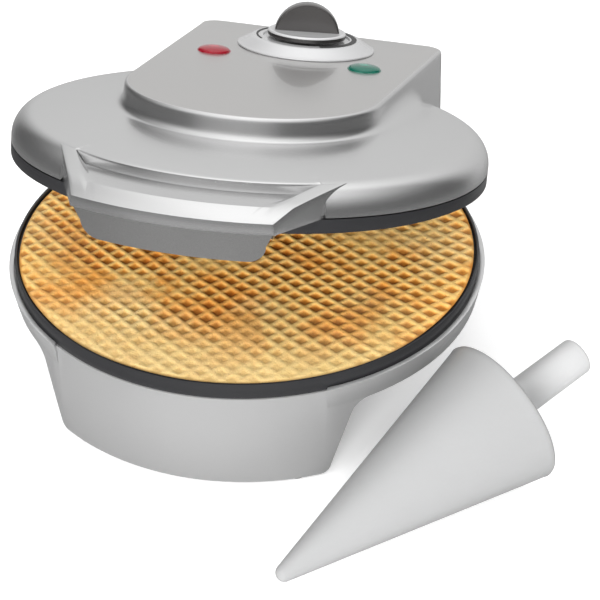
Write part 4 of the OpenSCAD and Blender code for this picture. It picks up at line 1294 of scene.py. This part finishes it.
class Wafer:
    """The baked wafer as one uneven sheet with square pockets."""

    steps = 296
    top = 57.6
    low = 55.95
    radius = 111.7

    def __init__(self, shop: Workshop) -> None:
        self.shop = shop

    @staticmethod
    def disc(steps: int) -> tuple[np.ndarray, np.ndarray]:
        """Spreads a square grid over the unit disc.

        Args:
            steps: steps along each side.

        Returns:
            The X and Y places.
        """
        line = np.linspace(-1.0, 1.0, steps + 1)
        a, b = np.meshgrid(line, line)
        wide = np.abs(a) > np.abs(b)
        with np.errstate(divide="ignore", invalid="ignore"):
            angle = np.where(wide, math.pi / 4.0 * np.where(a != 0, b / np.where(a == 0, 1, a), 0.0),
                             math.pi / 2.0 - math.pi / 4.0 * np.where(b != 0, a / np.where(b == 0, 1, b), 0.0))
        r = np.where(wide, a, b)
        return r * np.cos(angle), r * np.sin(angle)

    def height(self, x: float, y: float) -> float:
        """Gives the crust's height at one place.

        Args:
            x: place along X.
            y: place along Y.

        Returns:
            The height.
        """
        wide = noise.noise_vector(Vector((x, y, 3.0)) / 46.0)
        near = noise.noise_vector(Vector((x, y, 9.0)) / 13.0)
        turn = math.radians(GRID.angle)
        px, py = x + 2.2 * wide.x + 0.55 * near.x - 0.0006 * x * x, y + 2.2 * wide.y + 0.55 * near.y
        u = px * math.cos(turn) + py * math.sin(turn)
        v = -px * math.sin(turn) + py * math.cos(turn)
        across = 2.0 * abs(u / GRID.pitch - round(u / GRID.pitch))
        along = 2.0 * abs(v / GRID.pitch - round(v / GRID.pitch))
        soft = 0.10 + 0.10 * noise.noise(Vector((x, y, 21.0)) / 30.0)
        rib = max(ease(0.44 - soft, 0.80, across), 0.86 * ease(0.44 - soft, 0.80, along))
        depth = 1.12 + 0.42 * noise.noise(Vector((x, y, 40.0)) / 24.0)
        depth *= 1.0 - 0.62 * ease(-62.0, -96.0, y + 9.0 * wide.z)
        depth *= 1.0 - 0.5 * ease(0.12, 0.45, noise.noise(Vector((x, y, 71.0)) / 34.0))
        lumps = 0.10 * noise.noise(Vector((x, y, 5.0)) / 2.6) + 0.07 * noise.noise(Vector((x, y, 15.0)) / 1.3)
        return self.top - 0.10 - depth * (1.0 - rib) + lumps

    def build(self) -> None:
        """Builds the wafer."""
        xs, ys = self.disc(self.steps)
        size = self.steps + 1
        angle = np.arctan2(ys, xs)
        edge = self.radius - 0.45 - 0.35 * np.sin(7.0 * angle + 1.0) * np.sin(3.0 * angle)
        px, py = xs * edge, ys * edge
        away = np.hypot(xs, ys)
        points = np.empty((size * size, 3))
        for i, (x, y, r) in enumerate(zip(px.ravel(), py.ravel(), away.ravel())):
            z = min(self.top, self.height(x, y))
            drop = ease(0.985, 1.0, r)
            points[i] = (x, y, z + (56.75 - z) * drop)
        quads = []
        for row in range(self.steps):
            first = row * size
            quads += [(first + c, first + c + 1, first + size + c + 1, first + size + c) for c in range(self.steps)]
        border = list(range(size)) + [size * r + size - 1 for r in range(1, size)]
        border += [size * (size - 1) + c for c in range(size - 2, -1, -1)] + [size * r for r in range(size - 2, 0, -1)]
        shape = Shape([Vector(p) for p in points], quads)
        lower = shape.row([(points[i][0] * 0.996, points[i][1] * 0.996, self.low) for i in border])
        shape.bridge(border, lower, closed=True)
        middle = shape.row([(0.0, 0.0, self.low)])[0]
        for a, b in zip(lower, lower[1:] + lower[:1]):
            shape.faces.append((a, b, middle))
        self.shop.build(shape, Piece("wafer_crust", Body.WAFER, "wafer", ("wafer",), crease=60.0))


# ---------------------------------------------------------------- cone former


class Cone:
    """The loose cone former with its handle, lying on the table."""

    radius = 35.7
    length = 142.5
    tip_r = 4.0
    handle_r = 8.9
    handle_len = 46.7
    x = 53.1
    y = -177.3
    heading = 50.9

    def __init__(self, shop: Workshop) -> None:
        self.shop = shop

    def place(self) -> Matrix:
        """Gives the place of the cone on the table.

        Returns:
            The matrix in millimetres.
        """
        lift = math.degrees(math.atan(self.radius / self.length))
        return (Matrix.Translation((self.x, self.y, 0.13)) @ Matrix.Rotation(math.radians(self.heading), 4, "Z")
                @ Matrix.Rotation(math.radians(90.0 - lift), 4, "Y"))

    def build(self) -> None:
        """Builds the cone and its handle."""
        half = math.degrees(math.atan(self.radius / self.length))
        slope = math.tan(math.radians(half))
        ball = self.tip_r / math.sin(math.radians(half))
        cone = Shape()
        profile = [(max(0.02, r), z) for r, z in arc_points(0.0, ball, self.tip_r, -90.0, -half, 10)]
        start = profile[-1][1]
        end = self.length - 3.0
        profile += [((start + (end - start) * i / 24) * slope, start + (end - start) * i / 24) for i in range(1, 25)]
        profile += [(self.radius - 0.25, self.length - 1.5), (self.radius - 0.55, self.length - 0.6),
                    (self.radius - 1.2, self.length - 0.1), (self.radius - 1.9, self.length),
                    (self.radius - 3.9, self.length), (self.radius - 4.15, self.length - 0.2),
                    (self.radius - 4.2, self.length - 2.0), (self.radius - 3.6, self.length - 2.6),
                    (4.0, 30.0), (0.02, 29.0)]
        cone.revolve(profile, 128)
        # The cone body takes the darkened copy of the white plastic: painted shade.
        self.shop.build(cone, Piece("cone_body", Body.CONE, "white_plastic", ("cone_former",), "cone_white_painted_shade", 50.0), place=self.place())
        cap = self.radius - 4.3
        r, z = self.handle_r, self.length + self.handle_len
        handle = Shape()
        handle.revolve([(0.02, self.length - 2.9), (cap, self.length - 2.9), (cap, self.length - 0.35), (cap - 0.35, self.length - 0.05),
                        (r + 1.6, self.length - 0.05), (r + 0.6, self.length + 0.35), (r + 0.12, self.length + 1.5),
                        (r, self.length + 3.0), (r, z - 12.0), (r, z - 1.6), (r - 0.3, z - 0.75), (r - 0.9, z - 0.2), (r - 1.7, z),
                        (r - 4.0, z), (0.02, z)], 64)
        self.shop.build(handle, Piece("cone_grip", Body.CONE, "white_plastic", ("cone_handle",), crease=50.0), place=self.place())


# ---------------------------------------------------------------- base


class Base:
    """The base's mouldings with rounded edges."""

    def __init__(self, shop: Workshop) -> None:
        self.shop = shop

    def build(self) -> None:
        """Builds the base shell and the covers."""
        # The base takes the less metallic silver, whose extra diffuse colour is painted light standing in for the leg's
        # bright reflection.
        self.shop.from_node("base_shell", Piece("base_moulding", Body.BASE, "silver_shell", ("base_shell",), "silver_leg_painted_light"), 0.5)
        self.shop.from_node("base_bottom_cover", Piece("bottom_cover", Body.BASE, "dark_cover", ("base_bottom_cover",)), 0.3)
        self.shop.from_node("hinge_arms", Piece("hinge_arm_pair", Body.LID, "dark_cover", ("hinge_arms",)), 0.4)


# ---------------------------------------------------------------- studio


class Studio:
    """Camera, floor, light and surroundings.

    The lists give the brightness that reflections find at each elevation in degrees: straight ahead of
    the machine, at its flanks, where dark screens stand low, and behind it, where the room is pale.
    """

    ahead = ((-90.0, 0.10), (-58.0, 0.14), (-46.0, 0.22), (-36.0, 0.42), (-22.0, 0.30), (-8.0, 0.16), (6.0, 0.26),
             (20.0, 0.42), (40.0, 0.70), (58.0, 1.10), (90.0, 1.35))
    flank = ((-90.0, 0.10), (-58.0, 0.12), (-46.0, 0.16), (-36.0, 0.20), (-22.0, 0.14), (-8.0, 0.05), (10.0, 0.05),
             (24.0, 0.18), (40.0, 0.50), (58.0, 0.95), (90.0, 1.30))
    behind = ((-90.0, 0.14), (-60.0, 0.18), (-36.0, 0.26), (-16.0, 0.60), (4.0, 0.73), (18.0, 0.78), (34.0, 0.95),
              (50.0, 1.25), (65.0, 1.45), (90.0, 1.45))
    ambient = 0.80
    azimuth = 14.73
    elevation = 36.31
    distance = 887.46
    lens = 108.37
    aim_right = 25.89
    aim_up = -31.4
    aim_z = 60.0

    def camera(self) -> None:
        """Makes the camera at its angle to the machine."""
        a, e = math.radians(self.azimuth), math.radians(self.elevation)
        back = Vector((math.sin(a) * math.cos(e), -math.cos(a) * math.cos(e), math.sin(e)))
        turn = (-back).to_track_quat("-Z", "Y")
        right, up = turn @ Vector((1.0, 0.0, 0.0)), turn @ Vector((0.0, 1.0, 0.0))
        target = Vector((0.0, 0.0, self.aim_z)) + right * self.aim_right + up * self.aim_up
        data = bpy.data.cameras.new("camera")
        data.sensor_width = 36.0
        data.lens = self.lens
        data.clip_start, data.clip_end = 0.01, 50.0
        camera = bpy.data.objects.new("camera", data)
        camera.rotation_mode = "QUATERNION"
        camera.rotation_quaternion = turn
        camera.location = (target + back * self.distance) * MM
        bpy.context.scene.collection.objects.link(camera)
        bpy.context.scene.camera = camera

    def floor(self) -> None:
        """Makes the plain pale floor."""
        mesh = bpy.data.meshes.new("floor")
        side = 6.0
        mesh.from_pydata([(-side, -side, 0.0), (side, -side, 0.0), (side, side, 0.0), (-side, side, 0.0)], [], [(0, 1, 2, 3)])
        floor = bpy.data.objects.new("floor", mesh)
        bpy.context.scene.collection.objects.link(floor)
        sheet = NodeSheet("floor")
        sheet.shader.inputs["Base Color"].default_value = (0.93, 0.93, 0.93, 1.0)
        sheet.shader.inputs["Emission Color"].default_value = (1.0, 1.0, 1.0, 1.0)
        sheet.set(roughness=0.9, specular_ior_level=0.0, emission_strength=0.22)
        mesh.materials.append(sheet.material)
        floor.visible_glossy = False

    def lamp(self, name: str, place: Sequence[float], size: float, power: float, glossy: bool) -> None:
        """Makes one softbox that looks at the machine.

        Args:
            name: its name.
            place: its place in metres.
            size: its side in metres.
            power: its power in watts.
            glossy: True if it shows in reflections.
        """
        data = bpy.data.lights.new(name, "AREA")
        data.shape = "DISK"
        data.size = size
        data.energy = power
        lamp = bpy.data.objects.new(name, data)
        lamp.location = place
        lamp.rotation_mode = "QUATERNION"
        lamp.rotation_quaternion = (Vector((0.0, 0.0, 0.06)) - Vector(place)).to_track_quat("-Z", "Y")
        lamp.visible_glossy = glossy
        bpy.context.scene.collection.objects.link(lamp)

    def surroundings(self) -> None:
        """Makes the studio's walls: bright above, mid grey ahead and dark below for reflections."""
        world = bpy.data.worlds.new("studio")
        bpy.context.scene.world = world
        world.use_nodes = True
        tree = world.node_tree
        nodes, links = tree.nodes, tree.links
        background = nodes["Background"]
        coords = nodes.new("ShaderNodeTexCoord")
        split = nodes.new("ShaderNodeSeparateXYZ")
        links.new(coords.outputs["Generated"], split.inputs[0])
        height = nodes.new("ShaderNodeMapRange")
        height.inputs["From Min"].default_value = -1.0
        links.new(split.outputs["Z"], height.inputs["Value"])
        sides = []
        for stops in (self.ahead, self.flank, self.behind):
            ramp = nodes.new("ShaderNodeValToRGB")
            for i, (elevation, level) in enumerate(stops):
                position = 0.5 + 0.5 * math.sin(math.radians(elevation))
                element = ramp.color_ramp.elements[i] if i < 2 else ramp.color_ramp.elements.new(position)
                element.position = position
                element.color = (level / 2.0, level / 2.0, level / 2.0, 1.0)
            links.new(height.outputs["Result"], ramp.inputs["Fac"])
            sides.append(ramp.outputs["Color"])
        flat = nodes.new("ShaderNodeVectorMath")
        flat.operation = "MULTIPLY"
        flat.inputs[1].default_value = (1.0, 1.0, 0.0)
        links.new(coords.outputs["Generated"], flat.inputs[0])
        unit = nodes.new("ShaderNodeVectorMath")
        unit.operation = "NORMALIZE"
        links.new(flat.outputs["Vector"], unit.inputs[0])
        split_flat = nodes.new("ShaderNodeSeparateXYZ")
        links.new(unit.outputs["Vector"], split_flat.inputs[0])
        around = sides[0]
        for start, end, side in ((-0.93, -0.72, sides[1]), (0.62, 0.92, sides[2])):
            facing = nodes.new("ShaderNodeMapRange")
            facing.interpolation_type = "SMOOTHSTEP"
            facing.inputs["From Min"].default_value = start
            facing.inputs["From Max"].default_value = end
            links.new(split_flat.outputs["Y"], facing.inputs["Value"])
            mixed = nodes.new("ShaderNodeMix")
            mixed.data_type = "RGBA"
            links.new(facing.outputs["Result"], mixed.inputs[0])
            links.new(around, mixed.inputs[6])
            links.new(side, mixed.inputs[7])
            around = mixed.outputs[2]
        path = nodes.new("ShaderNodeLightPath")
        seen = nodes.new("ShaderNodeMix")
        seen.data_type = "RGBA"
        seen.inputs[6].default_value = (0.5 * self.ambient, 0.5 * self.ambient, 0.5 * self.ambient, 1.0)
        links.new(path.outputs["Is Glossy Ray"], seen.inputs[0])
        links.new(around, seen.inputs[7])
        links.new(seen.outputs[2], background.inputs["Color"])
        background.inputs["Strength"].default_value = 2.0

    def build(self) -> None:
        """Builds the whole studio."""
        scene = bpy.context.scene
        scene.view_settings.view_transform = "Standard"
        scene.view_settings.look = "None"
        self.floor()
        self.surroundings()
        self.lamp("key_light", (-0.35, -0.9, 1.5), 0.9, 4.0, False)
        self.lamp("top_light", (0.2, 0.3, 1.6), 1.2, 9.0, False)
        self.lamp("front_light", (0.10, -1.5, 0.46), 0.8, 33.0, False)


class Machine:
    """The whole machine."""

    def __init__(self, record: dict) -> None:
        hinge = next(j for j in record["behaviour"]["joints"] if j["name"] == "lid_hinge")
        pivot = Vector(hinge["pos_m"]) / MM
        self.turn = (Matrix.Translation(pivot) @ Matrix.Rotation(math.radians(hinge["range_deg"][0]), 4, "X")
                     @ Matrix.Translation(-pivot))
        self.record = record
        self.materials = Materials(self.turn)

    def keep_nodes(self) -> None:
        """Gives every CAD node that stays its material."""
        for part in self.record["subparts"]:
            obj = bpy.data.objects.get(part["node"])
            if obj is None:
                continue
            obj.data.materials.clear()
            obj.data.materials.append(self.materials.get(part["material_slot"]))

    def build(self) -> None:
        """Builds every piece."""
        self.keep_nodes()
        shop = Workshop(self.materials, self.turn)
        Base(shop).build()
        lid = Lid(shop)
        lid.shell()
        lid.grip()
        lid.apron()
        dial = Dial(shop)
        dial.bezel()
        dial.knob()
        dial.lamps()
        plates = Plates(shop)
        plates.build()
        plates.screws()
        Wafer(shop).build()
        Cone(shop).build()


def main() -> None:
    """Builds the scene."""
    logging.basicConfig(level=logging.INFO, format="%(name)s %(message)s")
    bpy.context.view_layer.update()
    studio = Studio()
    studio.camera()
    Machine(frame["record"]).build()
    studio.build()


if __name__ == "__main__":
    main()
